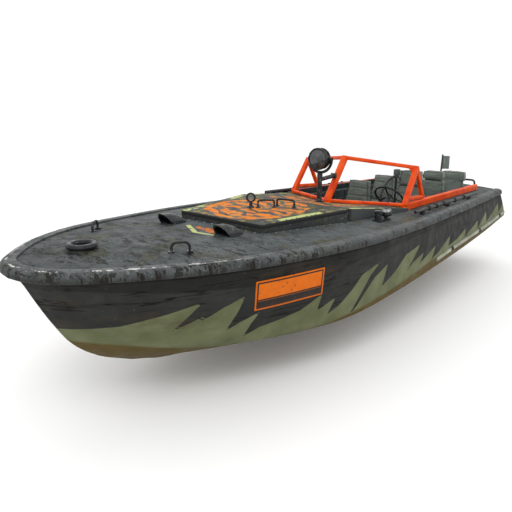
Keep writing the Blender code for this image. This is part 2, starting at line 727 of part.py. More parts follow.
def stern_gear(mats):
    y, z = 3.30, deck_z(0.58, 3.30)
    path = [Vector((0.58, y, z + 0.006))]
    path += arc((0.54, y, z + 0.07), (1, 0, 0), (0, 0, 1), 0.04, 0, 90, 4)
    path += arc((-0.54, y, z + 0.07), (-1, 0, 0), (0, 0, 1), 0.04, 90, 0, 4)
    path += [Vector((-0.58, y, z + 0.006))]
    rail = round_bar("stern_grab_rail", path, 0.014, mats["dark"], sides=10)
    feet = []
    for i, s in enumerate((-1, 1)):
        feet.append(foot("grab_foot%d" % i, 0.58 * s, y, (0.03, 0.03), z + 0.012, deck_z, mats["dark"], 10))
    fuse(rail, *feet)
    base = Vector((0, 3.42, deck_z(0, 3.42)))
    top = base + Vector((0, 0.03, 0.425))
    staff = round_bar("flag_staff", [base + Vector((0, 0, 0.012)), top], 0.013, mats["dark"], sides=10)
    fuse(staff, foot("staff_foot", 0, base.y, (0.034, 0.034), base.z + 0.018, deck_z, mats["dark"], 12))
    lean = (top - base).normalized()
    hoist = base + lean * 0.405 + Vector((0, 0.0134 + GAP, 0))
    drop = base + lean * 0.205 + Vector((0, 0.0134 + GAP, 0))
    fly, half = Vector((0.05, 0.15, -0.012)), Vector((0.002, -0.0007, 0))
    rings = [[p + half, p - half, p - half + fly, p + half + fly] for p in (drop, hoist)]
    loft("flag", rings, mats["canvas"])


# Windscreen frame and cockpit rails
def windscreen(mats):
    """Orange frame with no glass: two raked panels that meet in the middle, with side braces."""
    paint = mats["orange"]
    low_mid, top_mid = Vector((0, 0.235, 0.517)), Vector((0, 0.585, 0.975))
    w, h = 0.050, 0.034
    ob = bar("windscreen_frame", low_mid - Vector((0, 0.004, 0)), top_mid + Vector((0, 0.012, 0.016)),
             0.070, 0.062, paint)
    parts = [foot("wind_foot_mid", 0, low_mid.y - 0.004, (0.045, 0.026), low_mid.z, cowl_z, paint)]
    for s, tag in ((1, "port"), (-1, "starboard")):
        low = Vector((0.765 * s, 0.628, 0.500))
        top = Vector((0.745 * s, 0.905, 0.885))
        knee, heel = Vector((0.762 * s, 0.66, 0.563)), Vector((0.740 * s, 1.12, 0.529))
        out = Vector((0.016 * s, 0, 0))
        parts += [
            bar("wind_low_" + tag, low_mid, low + out, w, h, paint),
            bar("wind_top_" + tag, top_mid, top + out, w, 0.040, paint),
            bar("wind_post_" + tag, low + Vector((0, -0.004, 0)), top + Vector((0, 0.010, 0.016)),
                0.054, 0.060, paint),
            bar("wind_brace_" + tag, top - Vector((0, 0, 0.012)), heel + Vector((0, 0.004, 0)),
                0.040, 0.055, paint),
            bar("wind_side_" + tag, knee, heel + Vector((0, 0.02, 0)), 0.042, 0.040, paint),
            foot("wind_foot_side_" + tag, 0.745 * s, 0.622, (0.040, 0.026), 0.50, cowl_z, paint),
            foot("wind_foot_aft_" + tag, 0.740 * s, 1.115, (0.022, 0.028), 0.52, cockpit_rail_z, paint),
        ]
    fuse(ob, *parts)


def cockpit_rail_z(x, y):
    """Height of the rail's top at y."""
    return deck_z(table(COCKPIT_RAIL, y) - COCKPIT_RAIL_HALF, y) + REST + COCKPIT_RAIL_H


def cockpit_rail(name, side, mats):
    """Painted rail from the foot of the windscreen aft; its fore end leans with the windscreen."""
    half, high = COCKPIT_RAIL_HALF, COCKPIT_RAIL_H
    rings = []
    for i, (y, x) in enumerate(COCKPIT_RAIL):
        lean = 0.030 if i == 0 else 0
        z0 = deck_z(x - half, y) + REST
        x = x * side
        rings.append([(x - half, y, z0), (x + half, y, z0), (x + half, y + lean, z0 + high - 0.010),
                      (x + 0.014, y + lean, z0 + high), (x - 0.014, y + lean, z0 + high),
                      (x - half, y + lean, z0 + high - 0.010)])
    loft(name, rings, mats["orange"])


# Searchlight
def searchlight(mats):
    base = Vector((0, LAMP.y, cowl_z(0, LAMP.y)))
    high = YOKE_FOOT - base.z
    post = turned("lamp_post", base, (0, 0, 1),
                  ((0.012, 0.036), (0.024, 0.034), (0.045, POST_R), (high - 0.05, POST_R),
                   (high - 0.045, 0.030), (high, 0.030)), mats["dark"], 20)
    flange = foot("lamp_flange", 0, LAMP.y, (0.052, 0.052), base.z + 0.018, cowl_z, mats["dark"], 14)
    stay_ends = [(0, LAMP.y + 0.01, 0.772), (0, 0.356, 0.785)]
    stay = round_bar("lamp_stay", stay_ends, 0.024, mats["dark"], sides=12)
    clamp = box("lamp_stay_clamp", (-0.030, 0.343, 0.757), (0.030, 0.3735, 0.814), mats["dark"])
    fuse(post, flange, stay, clamp)
    axis = Vector((0, LAMP.y, YOKE_FOOT + GAP))
    ring = arc(LAMP, (1, 0, 0), (0, 0, -1), YOKE_R, -8, 188, 28)
    yoke = []
    for p in ring:
        n = (p - LAMP).normalized()
        t = n * 0.004
        d = Vector((0, 0.016, 0))
        yoke.append([p - t - d, p - t + d, p + t + d, p + t - d])
    arms = loft("lamp_yoke", yoke, mats["dark"], origin=(0, LAMP.y, LAMP.z))
    hub = turned("lamp_yoke_hub", axis, (0, 0, 1), ((0, 0.027), (0.012, 0.027), (0.016, 0.020)),
                 mats["dark"], 18)
    fuse(arms, hub)
    face = LAMP_FACE
    drum = turned("lamp_drum", LAMP, (0, 1, 0),
                  ((face, LAMP_R - 0.006), (face + 0.004, LAMP_R), (face + 0.022, LAMP_R),
                   (face + 0.024, LAMP_R - 0.006), (face + 0.100, LAMP_R - 0.010),
                   (face + 0.135, LAMP_R - 0.040), (face + 0.155, LAMP_R - 0.080), (face + 0.165, 0.020)),
                  mats["dark"], 32, origin=LAMP)
    pocket = turned("lamp_pocket", LAMP, (0, 1, 0),
                    ((face - 0.01, LAMP_R - 0.014), (face + 0.012, LAMP_R - 0.014)), mats["dark"], 32)
    cut(drum, pocket)
    pins = []
    for s in (-1, 1):
        pins.append(turned("lamp_pin%d" % (s + 1), LAMP + Vector((s * (LAMP_R - 0.03), 0, 0)), (s, 0, 0),
                           ((0, 0.012), (0.060, 0.012)), mats["dark"], 16))
    fuse(drum, *pins)
    for s, tag in ((1, "port"), (-1, "starboard")):
        hole = turned("yoke_hole_" + tag, LAMP + Vector((s * 0.12, 0, 0)), (s, 0, 0),
                      ((0, 0.0127), (0.06, 0.0127)), mats["dark"], 16)
        eye = turned("yoke_eye_" + tag, LAMP + Vector((s * (YOKE_R - 0.006), 0, 0)), (s, 0, 0),
                     ((0, 0.024), (0.012, 0.024)), mats["dark"], 16)
        fuse(arms, eye)
        cut(arms, hole)
    turned("lamp_lens", LAMP, (0, 1, 0), ((face + 0.001, LAMP_R - 0.0145), (face + 0.0117, LAMP_R - 0.0145)),
           mats["glass"], 32, origin=LAMP)


# Cockpit
def bulkheads(mats):
    """Bulkhead under the cowl, and the one that closes the cockpit under the aft deck."""
    shares = (1.0, 0.66, 0.33, 0.0, -0.33, -0.66, -1.0)
    rings = []
    faces = (0.16, 0.20)
    x = liner_x(faces[0]) - REST
    for y in faces:
        low, top = [], []
        for s in shares:
            floor = max(inner_bottom_z(face, abs(x * s), 0.004) for face in faces)
            low.append(Vector((x * s, y, floor)))
            top.append(Vector((x * s, y, deck_z(x * s, faces[1]) - GAP)))
        rings.append(low + top[::-1])
    loft("bulkhead", rings, mats["inside"])
    rings = []
    for y in (3.14, 3.18):
        x = liner_x(3.18) - REST
        top = [Vector((x * s, y, deck_z(x * s, AFT_DECK) - DECK * 0.2)) for s in shares]
        rings.append([Vector((x, y, SOLE + GAP)), Vector((-x, y, SOLE + GAP))] + top[::-1])
    loft("aft_bulkhead", rings, mats["inside"])


def cockpit(mats):
    rings = []
    stations = [y for y in SIDE_YS if 0.22 < y < AFT_DECK - 0.03]
    for y in [0.20 + GAP] + stations + [AFT_DECK - 0.01]:
        x = liner_x(y) - REST
        rings.append([(x, y, SOLE - SOLE_T), (x, y, SOLE), (-x, y, SOLE), (-x, y, SOLE - SOLE_T)])
    sole = loft("cockpit_sole", rings, mats["inside"])
    lockers = []
    half = SEAT_W / 2 - 0.02
    for tag, x in SEAT_XS:
        for i, y in enumerate(SEAT_ROWS, 1):
            lockers.append(box("locker_%s_%d" % (tag, i), (x - half, y - 0.43, SOLE - 0.01),
                               (x + half, y - 0.01, LOCKER_TOP), mats["inside"]))
    fuse(sole, *lockers)


def dash(mats):
    """Dash that hangs on the bulkhead, with the wheel's column and the throttle's quadrant."""
    axis = Vector((0, math.sin(WHEEL_TILT), math.cos(WHEEL_TILT)))
    x0, x1 = 0.13, 0.655
    profile = ((0.20 + GAP, 0.15), (0.66, 0.15), (0.86, 0.24), (0.88, 0.28), (0.80, 0.43), (0.20 + GAP, 0.43))
    rings = [[(x, y, z) for y, z in profile] for x in (x0, x1)]
    body = loft("helm_console", rings, mats["inside"])
    column = turned("column", WHEEL - axis * 0.30, axis, ((0, 0.030), (0.24, 0.030), (0.255, 0.022)),
                    mats["dark"], 14)
    quadrant = box("quadrant", (0.165, 0.79, 0.30), (0.215, 0.90, 0.40), mats["dark"])
    lever = round_bar("lever", [(0.19, 0.88, 0.38), (0.19, 0.91, 0.49)], 0.009, mats["dark"], sides=8)
    knob = turned("knob", (0.19, 0.908, 0.485), (0, 0.2, 1),
                  ((0, 0.012), (0.01, 0.02), (0.03, 0.02), (0.04, 0.010)), mats["dark"], 12)
    fuse(body, column, quadrant, lever, knob)
    rim = []
    side, top = frame_of(axis)
    for k in range(32):
        a = 2 * math.pi * k / 32
        rim.append(WHEEL + side * (WHEEL_R * math.cos(a)) + top * (WHEEL_R * math.sin(a)))
    wheel = round_bar("steering_wheel", rim, 0.012, mats["dark"], sides=8, closed=True, origin=WHEEL)
    hub = turned("wheel_hub", WHEEL - axis * 0.0445, axis, ((0, 0.026), (0.058, 0.034), (0.064, 0.028)),
                 mats["dark"], 16)
    spokes = []
    for k in range(3):
        a = math.radians(90 + 120 * k)
        d = side * math.cos(a) + top * math.sin(a)
        spokes.append(bar("spoke%d" % k, WHEEL + d * 0.01, WHEEL + d * (WHEEL_R - 0.002), 0.022, 0.010,
                          mats["dark"], up=axis))
    fuse(wheel, hub, *spokes)


def seat(name, x, y, head, mats):
    """Padded seat: a cushion on the locker, a raked back that narrows upwards, and a head pad on some."""
    w = SEAT_W / 2
    z0 = LOCKER_TOP + GAP
    base = box(name, (x - w, y - 0.47, z0), (x + w, y - 0.02, z0 + 0.13), mats["canvas"], bevel=0.015)
    top = max(BACK_TOP, head[0] + 0.02) if head else BACK_TOP
    rows = [(z0 + 0.06, w - 0.005, y - 0.125, y - 0.03), (top, 0.14, y - 0.065, y + 0.04)]
    back = loft(name + "_back", [slab(x, *row) for row in rows], mats["canvas"])
    fuse(base, back)
    if head:
        low, high, half = head
        rows = [(low, half, y - 0.085, y + 0.045), (high, half - 0.01, y - 0.065, y + 0.055)]
        fuse(base, loft(name + "_head", [slab(x, *row) for row in rows], mats["canvas"]))


def slab(x, z, half, fore, aft):
    return [(x - half, fore, z), (x + half, fore, z), (x + half, aft, z), (x - half, aft, z)]


def seats(mats):
    for tag, x in SEAT_XS:
        for i, (y, head) in enumerate(zip(SEAT_ROWS, HEADS), 1):
            seat("seat_%s_%d" % (tag, i), x, y, head if tag == "port" else None, mats)


# Engine, shaft, propeller and rudder
def drive(mats):
    block = box("engine", (-0.27, -1.30, -0.26), (0.27, -0.62, 0.24), mats["dark"])
    bearers = []
    ys = [-1.36] + [y for y in SIDE_YS if -1.35 < y < -0.57] + [-0.56]
    for s in (-1, 1):
        rings = []
        for y in ys:
            rings.append([(0.20 * s, y, inner_bottom_z(y, 0.20, 2 * REST)),
                          (0.26 * s, y, inner_bottom_z(y, 0.26, 2 * REST)),
                          (0.26 * s, y, -0.25), (0.20 * s, y, -0.25)])
        bearers.append(loft("bearer%d" % (s + 1), rings, mats["dark"]))
    fuse(block, *bearers)
    axis = Vector((0, math.cos(SHAFT_TILT), -math.sin(SHAFT_TILT)))
    shaft = turned("propeller", PROP - axis * 0.6195, axis,
                   ((0, SHAFT_R), (0.5595, SHAFT_R), (0.5605, 0.036), (0.6645, 0.034), (0.7045, 0.018),
                    (0.7165, 0.006)),
                   mats["bronze"], 18, origin=PROP)
    side, top = frame_of(axis)
    blades = []
    for k in range(3):
        a = 2 * math.pi * k / 3
        rad = side * math.cos(a) + top * math.sin(a)
        tan = axis.cross(rad)
        rings = []
        for r, chord, pitch in ((0.026, 0.070, 58), (0.07, 0.115, 42), (0.115, 0.135, 33),
                                (0.155, 0.105, 27), (PROP_R, 0.045, 24)):
            p = math.radians(pitch)
            across = tan * math.cos(p) + axis * math.sin(p)
            thick = (tan * -math.sin(p) + axis * math.cos(p)) * (0.0055 if r < 0.16 else 0.003)
            c = PROP + rad * r
            edge, belly = across * (chord / 2), across * (chord * 0.2)
            rings.append([c - edge, c - belly + thick, c + belly + thick,
                          c + edge, c + belly - thick, c - belly - thick])
        blades.append(loft("blade%d" % k, rings, mats["bronze"]))
    fuse(shaft, *blades)
    centre = PROP - axis * 0.14
    barrel = turned("shaft_strut", centre - axis * 0.06, axis, ((0, 0.034), (0.12, 0.034)), mats["steel"], 18)
    z_top = keel_z(centre.y)
    section = ((0.012, -0.05), (0, -0.062), (-0.012, -0.05), (-0.012, 0.04), (0, 0.055), (0.012, 0.04))
    leg = loft("strut_leg", [[(x, centre.y + y, z) for x, y in section] for z in (centre.z, z_top - 0.012)],
               mats["steel"])
    bore_r = SHAFT_R + 0.0007
    bore = turned("strut_bore", centre - axis * 0.1, axis, ((0, bore_r), (0.2, bore_r)), mats["steel"], 18)
    rings = []
    for y in (centre.y - 0.09, centre.y + 0.08):
        z = keel_z(y) - REST
        rings.append([(-0.035, y, z), (0.035, y, z), (0.035, y, z - 0.014), (-0.035, y, z - 0.014)])
    pad = loft("strut_pad", rings, mats["steel"])
    fuse(barrel, leg, pad)
    cut(barrel, bore)
    rudder(mats)


def rudder(mats):
    """Spade rudder on an upright stock, with a collar under the hull."""
    top = keel_z(RUDDER_Y - 0.03)
    stock = turned("rudder", (0, RUDDER_Y, top - 2 * GAP), (0, 0, -1),
                   ((0, 0.030), (0.024, 0.030), (0.025, 0.016), (0.31, 0.014)), mats["steel"], 16,
                   origin=(0, RUDDER_Y, top))
    z0, z1 = top - 0.075, -0.735
    rings = []
    for z, fore, aft, t in ((z0, 0.085, 0.20, 0.015), (z1, 0.065, 0.15, 0.009)):
        rings.append([(0, RUDDER_Y - fore, z), (t, RUDDER_Y - fore * 0.5, z), (t, RUDDER_Y + 0.03, z),
                      (0.002, RUDDER_Y + aft, z), (-0.002, RUDDER_Y + aft, z), (-t, RUDDER_Y + 0.03, z),
                      (-t, RUDDER_Y - fore * 0.5, z)])
    blade = loft("rudder_blade", rings, mats["steel"])
    fuse(stock, blade)


def main():
    for ob in list(bpy.data.objects):
        bpy.data.objects.remove(ob, do_unlink=True)
    mats = {name: material(name, *values) for name, values in paint().items()}
    hull_bow(mats)
    hull_bottom(mats)
    hull_side("hull_side_port", 1, mats)
    hull_side("hull_side_starboard", -1, mats)
    transom(mats)
    skeg_and_stern_tube(mats)
    decks(mats)
    rub_rail("rub_rail_port", 1, mats)
    rub_rail("rub_rail_starboard", -1, mats)
    stern_rail(mats)
    hatch(mats)
    cowl(mats)
    scoop("scoop_port", 1, mats)
    scoop("scoop_starboard", -1, mats)
    fittings(mats)
    pole("pole_port", (0.990, 0.42, 0.050), (0.905, 2.50, 0.050), 0.018, mats)
    pole("pole_starboard", (-0.890, 0.22, 0.075), (-0.865, 2.40, 0.042), 0.023, mats)
    deck_light(mats)
    stern_gear(mats)
    windscreen(mats)
    cockpit_rail("cockpit_rail_port", 1, mats)
    cockpit_rail("cockpit_rail_starboard", -1, mats)
    searchlight(mats)
    bulkheads(mats)
    cockpit(mats)
    dash(mats)
    seats(mats)
    drive(mats)


main()
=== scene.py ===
# Looks of the open patrol speedboat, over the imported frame.
# +X is port, -Y is the bow, +Z is up, metres; z = 0 is the waterline.
from math import cos, exp, hypot, pi, radians, sin

import bmesh
import bpy
import numpy as np
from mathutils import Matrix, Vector, noise
from mathutils.bvhtree import BVHTree


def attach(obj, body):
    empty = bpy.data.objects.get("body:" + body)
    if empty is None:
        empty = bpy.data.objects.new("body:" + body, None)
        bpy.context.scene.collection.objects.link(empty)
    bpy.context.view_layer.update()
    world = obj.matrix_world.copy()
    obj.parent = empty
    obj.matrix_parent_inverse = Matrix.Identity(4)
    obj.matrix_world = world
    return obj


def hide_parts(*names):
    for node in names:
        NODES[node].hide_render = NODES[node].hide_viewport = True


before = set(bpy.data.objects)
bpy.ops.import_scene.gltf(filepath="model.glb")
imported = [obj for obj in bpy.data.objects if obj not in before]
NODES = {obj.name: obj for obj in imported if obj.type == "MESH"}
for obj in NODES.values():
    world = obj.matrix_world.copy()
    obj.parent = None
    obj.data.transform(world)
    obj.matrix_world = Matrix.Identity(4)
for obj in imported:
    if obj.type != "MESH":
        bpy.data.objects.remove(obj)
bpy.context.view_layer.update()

# Camera, solved from the photograph
CAMERA_AT = (3.43, -4.99, 1.612)
CAMERA_TURN = radians(40.7)
CAMERA_DOWN = radians(15.8)
FOCAL_PX, IMAGE_PX, SENSOR_MM = 549, 512, 36

FLOOR_Z = -0.745          # the photograph shows the whole boat on white, so the floor is under the rudder
WORLD = 1.06              # strength of the white surroundings
# Soft lamps: name, place, size, watts
LIGHTS = (("key", (3.5, -6.5, 6.5), 4.0, 200), ("fill", (6.5, 3.0, 5.0), 5.0, 80),
          ("back", (-6.0, 2.5, 5.5), 4.0, 120))

# Main sizes, as in the CAD
BOW_END, STERN, AFT_DECK = -1.44, 3.50, 3.20
CAMBER, RIM = 0.040, 0.10
CAMBER_FROM, CAMBER_FULL = -3.33, -2.70
CAP_STEP, RAIL_OUT, DECK = 0.012, 0.031, 0.025
SOLE = -0.08
LID_Z, LID_T = 0.600, 0.035
LID_FRONT, LID_AFT = (-1.52, 0.51), (-0.42, 0.69)     # y and half width
LID_AFT_GAP = 0.006
COWL_AFT = (0.265, 0.66, 0.80)                        # y in the middle, y at the side, half width
COWL_AFT_Z = (0.489, 0.469)
RAIL_TOP_AT_HEEL = 0.5066
LAMP = Vector((0.0, 0.08, 1.00))
LAMP_R = 0.120
WHEEL = Vector((0.36, 1.04, 0.50))
WHEEL_R, WHEEL_TILT = 0.175, radians(47)
SEAT_XS = (("port", 0.38), ("starboard", -0.35))
LOCKER_TOP = 0.09
SEAT_ROWS = (1.60, 2.30, 3.00)                        # y of the backs
# Pads before they are filled: rows of height, half width, fore and aft, with y from the seat's own y
PADS = {
    "base": ((0.100, 0.196, -0.455, -0.035), (0.135, 0.200, -0.462, -0.030), (0.205, 0.190, -0.450, -0.045)),
    "back": ((0.205, 0.192, -0.110, -0.030), (0.36, 0.172, -0.092, -0.006), (0.580, 0.140, -0.062, 0.032)),
    "head_1": ((0.575, 0.128, -0.074, 0.034), (0.66, 0.130, -0.076, 0.042), (0.755, 0.122, -0.066, 0.044)),
    "head_2": ((0.582, 0.130, -0.078, 0.038), (0.64, 0.132, -0.080, 0.044), (0.684, 0.124, -0.070, 0.044)),
    "head_3": ((0.492, 0.162, -0.076, 0.026), (0.56, 0.164, -0.090, 0.036), (0.616, 0.158, -0.074, 0.034)),
}
CHANNELS = (0.480, 0.375)                             # heights of the sewn channels across each back
SWELL = {"base": 0.014, "back": 0.012, "head_1": 0.008, "head_2": 0.008, "head_3": 0.010}

# Lines plan: y, half breadth x, height z
RAIL_LINE = ((-3.42, 0.0, 0.572), (-3.385, 0.16, 0.570), (-3.28, 0.325, 0.566), (-2.98, 0.592, 0.566),
             (-2.54, 0.83, 0.554), (-1.93, 1.005, 0.524), (-1.0, 1.134, 0.486), (0.0, 1.134, 0.449),
             (1.2, 1.07, 0.418), (2.4, 0.975, 0.385), (3.5, 0.868, 0.352))
CHINE_LINE = ((-3.10, 0.012, -0.06), (-3.0, 0.11, -0.08), (-2.86, 0.22, -0.10), (-2.6, 0.42, -0.13),
              (-2.25, 0.62, -0.165), (-1.7, 0.85, -0.195), (-0.9, 1.06, -0.20), (0.0, 1.13, -0.14),
              (1.2, 1.12, -0.045), (2.4, 1.07, 0.0), (3.5, 0.985, 0.03))
BILGE_LINE = ((-2.86, 0.012, -0.27), (-2.75, 0.10, -0.285), (-2.6, 0.20, -0.30), (-2.35, 0.36, -0.315),
              (-2.0, 0.56, -0.32), (-1.5, 0.78, -0.325), (-0.9, 0.95, -0.31), (0.0, 1.01, -0.26),
              (1.2, 1.02, -0.20), (2.4, 0.98, -0.135), (3.5, 0.91, -0.07))
KEEL_LINE = ((-2.54, 0.0, -0.422), (-2.40, 0.0, -0.465), (-2.28, 0.0, -0.504), (-2.05, 0.0, -0.55),
             (-1.8, 0.0, -0.575), (-1.4, 0.0, -0.583), (-0.9, 0.0, -0.57), (0.0, 0.0, -0.52),
             (1.2, 0.0, -0.44), (2.4, 0.0, -0.36), (3.5, 0.0, -0.29))
LINER = ((BOW_END, 0.44), (-0.42, 0.62), (0.60, 0.72), (AFT_DECK, 0.60))     # y, x

# Upper edge of the olive paint on the side, from the stem aft: y, z
STRIPE_EDGE = ((-3.5, 0.05), (-3.03, 0.06), (-2.89, 0.07), (-2.79, 0.11), (-2.64, 0.16), (-2.45, 0.23),
               (-2.57, -0.02), (-2.39, 0.10), (-2.42, 0.03), (-2.28, 0.14), (-2.14, 0.22), (-2.14, 0.11),
               (-2.18, -0.10), (-2.09, -0.03), (-1.95, 0.04), (-1.99, -0.06), (-2.01, -0.19), (-1.90, -0.12),
               (-1.73, -0.09), (-1.55, -0.05), (-1.46, 0.00), (-1.35, 0.06), (-1.36, -0.10), (-1.17, -0.01),
               (-1.23, -0.175), (-1.11, -0.115), (-0.97, 0.01), (-0.86, 0.13), (-0.58, 0.20), (-0.73, 0.09),
               (-0.86, -0.12), (-0.92, -0.24), (-0.88, -0.23), (-0.76, -0.065), (-0.64, 0.055), (-0.44, 0.14),
               (-0.49, -0.08), (-0.27, 0.015), (-0.07, 0.15), (0.24, 0.19), (-0.06, -0.09), (0.115, 0.03),
               (0.37, 0.08), (0.20, -0.13), (0.32, -0.015), (0.69, 0.095), (0.60, -0.055), (0.80, 0.0),
               (1.12, 0.125), (1.07, 0.005), (1.33, 0.03), (1.67, 0.11), (1.61, 0.0), (1.83, 0.055),
               (2.16, 0.125), (2.11, 0.015), (2.33, 0.095), (2.55, 0.18), (2.52, 0.04), (2.84, 0.11),
               (3.24, 0.19), (3.16, 0.06), (3.40, 0.12), (3.6, 0.20))
# Lower edge of the dark band under the rail, and upper edge of the brown bottom paint: y, z
BAND_EDGE = ((-3.5, 0.45), (-2.6, 0.34), (-1.37, 0.22), (-0.95, 0.287), (-0.25, 0.306),
             (1.09, 0.283), (3.5, 0.235))
BROWN_EDGE = ((-3.1, -0.06), (-2.82, -0.13), (-2.39, -0.234), (-2.0, -0.29), (-1.2, -0.27), (0.0, -0.13),
              (0.6, -0.055), (3.5, -0.035))
SIGN = ((-2.09, 0.332), (-1.41, 0.318), (-1.355, 0.06), (-2.01, 0.057))     # its corners on the side: y, z


# Curves
def vec(x, y, z):
    return Vector((x, y, z))


def spline(a, b, c, d, t):
    """The point at t, from b to c, of the smooth curve through four points."""
    return 0.5 * (2 * b + (c - a) * t + (2 * a - 5 * b + 4 * c - d) * t * t
                  + (3 * b - a - 3 * c + d) * t ** 3)


def dense(line, steps):
    """Points along a smooth curve through a line's rows, as (x, y, z)."""
    p = [vec(x, y, z) for y, x, z in line]
    p = [2 * p[0] - p[1]] + p + [2 * p[-1] - p[-2]]
    return [spline(*four, k / steps) for four in zip(p, p[1:], p[2:], p[3:]) for k in range(steps)] + [p[-2]]


def at_y(points, y):
    for a, b in zip(points, points[1:]):
        if a.y <= y <= b.y:
            return a.lerp(b, (y - a.y) / (b.y - a.y))
    return points[0].copy() if y < points[0].y else points[-1].copy()


def lengths_along(points):
    """The distance along a line to each of its points."""
    out = [0.0]
    for a, b in zip(points, points[1:]):
        out.append(out[-1] + (b - a).length)
    return out


def at_share(points, y_end, share):
    """The point at a share of the length of a line, from its start to y_end."""
    run = [p for p in points if p.y < y_end] + [at_y(points, y_end)]
    length = lengths_along(run)
    s = length[-1] * share
    i = max(j for j in range(len(run) - 1) if length[j] <= s + 1e-12)
    return run[i].lerp(run[i + 1], (s - length[i]) / (length[i + 1] - length[i]))


def table(rows, y):
    return float(np.interp(y, *zip(*rows)))


def outward(points, i):
    """Outward direction, in plan, of a line at its point i; square to the ends."""
    if i == 0:
        return vec(0, -1, 0)
    if i == len(points) - 1:
        return vec(1, 0, 0)
    d = points[i + 1] - points[i - 1]
    return vec(d.y, -d.x, 0).normalized()


RAIL = dense(RAIL_LINE, 12)
CHINE, BILGE, KEEL = (dense(line, 24) for line in (CHINE_LINE, BILGE_LINE, KEEL_LINE))
GUNWALE = [p + outward(RAIL, i) * RAIL_OUT - vec(0, 0, CAP_STEP) for i, p in enumerate(RAIL)]


def spread(start, end, step):
    """Evenly spaced values from start to end, about a step apart."""
    count = max(round((end - start) / step), 1)
    return [start + (end - start) * i / count for i in range(count + 1)]


def deck_z(x, y):
    edge = at_y(GUNWALE, y)
    if edge.x <= RIM:
        return edge.z
    rise = CAMBER * min(max((y - CAMBER_FROM) / (CAMBER_FULL - CAMBER_FROM), 0.0), 1.0)
    return edge.z + rise * (1 - min(abs(x) / (edge.x - RIM), 1.0) ** 2)


def cowl_z(x, y):
    (y_mid, y_side, half), (z_mid, z_side) = COWL_AFT, COWL_AFT_Z
    u = min(abs(x) / half, 1.0)
    y_end, z_end = y_mid + (y_side - y_mid) * u, z_mid + (z_side - z_mid) * u
    return LID_Z + (z_end - LID_Z) * (y - LID_AFT[0]) / (y_end - LID_AFT[0])


def mirror(points):
    return [vec(-p.x, p.y, p.z) for p in points]


# Mesh helpers; a shape is (points, faces)
def piece(name, shape, material, body="hull", smooth=35, replaces=()):
    """A visible piece from a shape in the world, that rides on a CAD body."""
    verts, faces = shape
    bm = bmesh.new()
    vs = [bm.verts.new(v) for v in verts]
    for f in faces:
        bm.faces.new([vs[i] for i in f])
    bmesh.ops.remove_doubles(bm, verts=bm.verts, dist=1e-5)
    bmesh.ops.dissolve_degenerate(bm, edges=bm.edges, dist=1e-6)
    bmesh.ops.recalc_face_normals(bm, faces=bm.faces)
    mesh = bpy.data.meshes.new(name)
    bm.to_mesh(mesh)
    bm.free()
    return piece_from(name, mesh, material, body, smooth, replaces)


def piece_from(name, mesh, material, body="hull", smooth=35, replaces=()):
    mesh.materials.clear()
    mesh.materials.append(MATERIALS[material])
    ob = bpy.data.objects.new(name, mesh)
    bpy.context.scene.collection.objects.link(ob)
    mesh.shade_smooth()
    mesh.set_sharp_from_angle(angle=radians(smooth))
    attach(ob, body)
    if replaces:
        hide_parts(*replaces)
    return ob


def mesh_of(name, verts, faces):
    mesh = bpy.data.meshes.new(name)
    mesh.from_pydata(verts, [], faces)
    return mesh


def tree_of(mesh):
    """A mesh as something that rays and nearest points can be asked of."""
    bm = bmesh.new()
    bm.from_mesh(mesh)
    tree = BVHTree.FromBMesh(bm)
    bm.free()
    return tree


def grid_faces(rows, columns, closed=False):
    """Quads between rows of points; closed joins each row's ends."""
    faces = []
    for r in range(rows - 1):
        for c in range(columns if closed else columns - 1):
            a, b = r * columns + c, r * columns + (c + 1) % columns
            faces.append((a, b, b + columns, a + columns))
    return faces


def shell(rings, loop=False):
    """A shape through closed rings, capped at both ends, or joined end to end."""
    n = len(rings[0])
    verts = [p for ring in rings for p in ring]
    faces = grid_faces(len(rings), n, closed=True)
    last = len(verts) - n
    if loop:
        faces += [(last + i, last + (i + 1) % n, (i + 1) % n, i) for i in range(n)]
    else:
        faces += [tuple(range(n - 1, -1, -1)), tuple(range(last, len(verts)))]
    return verts, faces


def join(*shapes):
    """Several shapes as one."""
    verts, faces = [], []
    for v, f in shapes:
        k = len(verts)
        verts += list(v)
        faces += [tuple(i + k for i in face) for face in f]
    return verts, faces


def frame_of(direction, up=(0, 0, 1)):
    """Two directions square to a direction and to each other; the second is the nearer to up."""
    d = Vector(direction).normalized()
    side = d.cross(Vector(up))
    if side.length < 1e-4:
        side = d.cross(vec(1, 0, 0))
    side.normalize()
    return side, side.cross(d).normalized()


def ring_at(centre, side, top, profile):
    return [centre + side * u + top * v for u, v in profile]


def circle(radius, sides):
    angles = [2 * pi * k / sides for k in range(sides)]
    return [(radius * cos(a), radius * sin(a)) for a in angles]


def rounded(width, height, radius, steps=3):
    """Outline of a rectangle with round corners, as (u, v)."""
    out = []
    for sx, sy, start in ((1, 1, 0), (-1, 1, 90), (-1, -1, 180), (1, -1, 270)):
        u, v = sx * (width / 2 - radius), sy * (height / 2 - radius)
        angles = [radians(start + 90 * k / steps) for k in range(steps + 1)]
        out += [(u + radius * cos(a), v + radius * sin(a)) for a in angles]
    return out


SHARPEST = 0.4            # holds the mitre of a sharp corner back


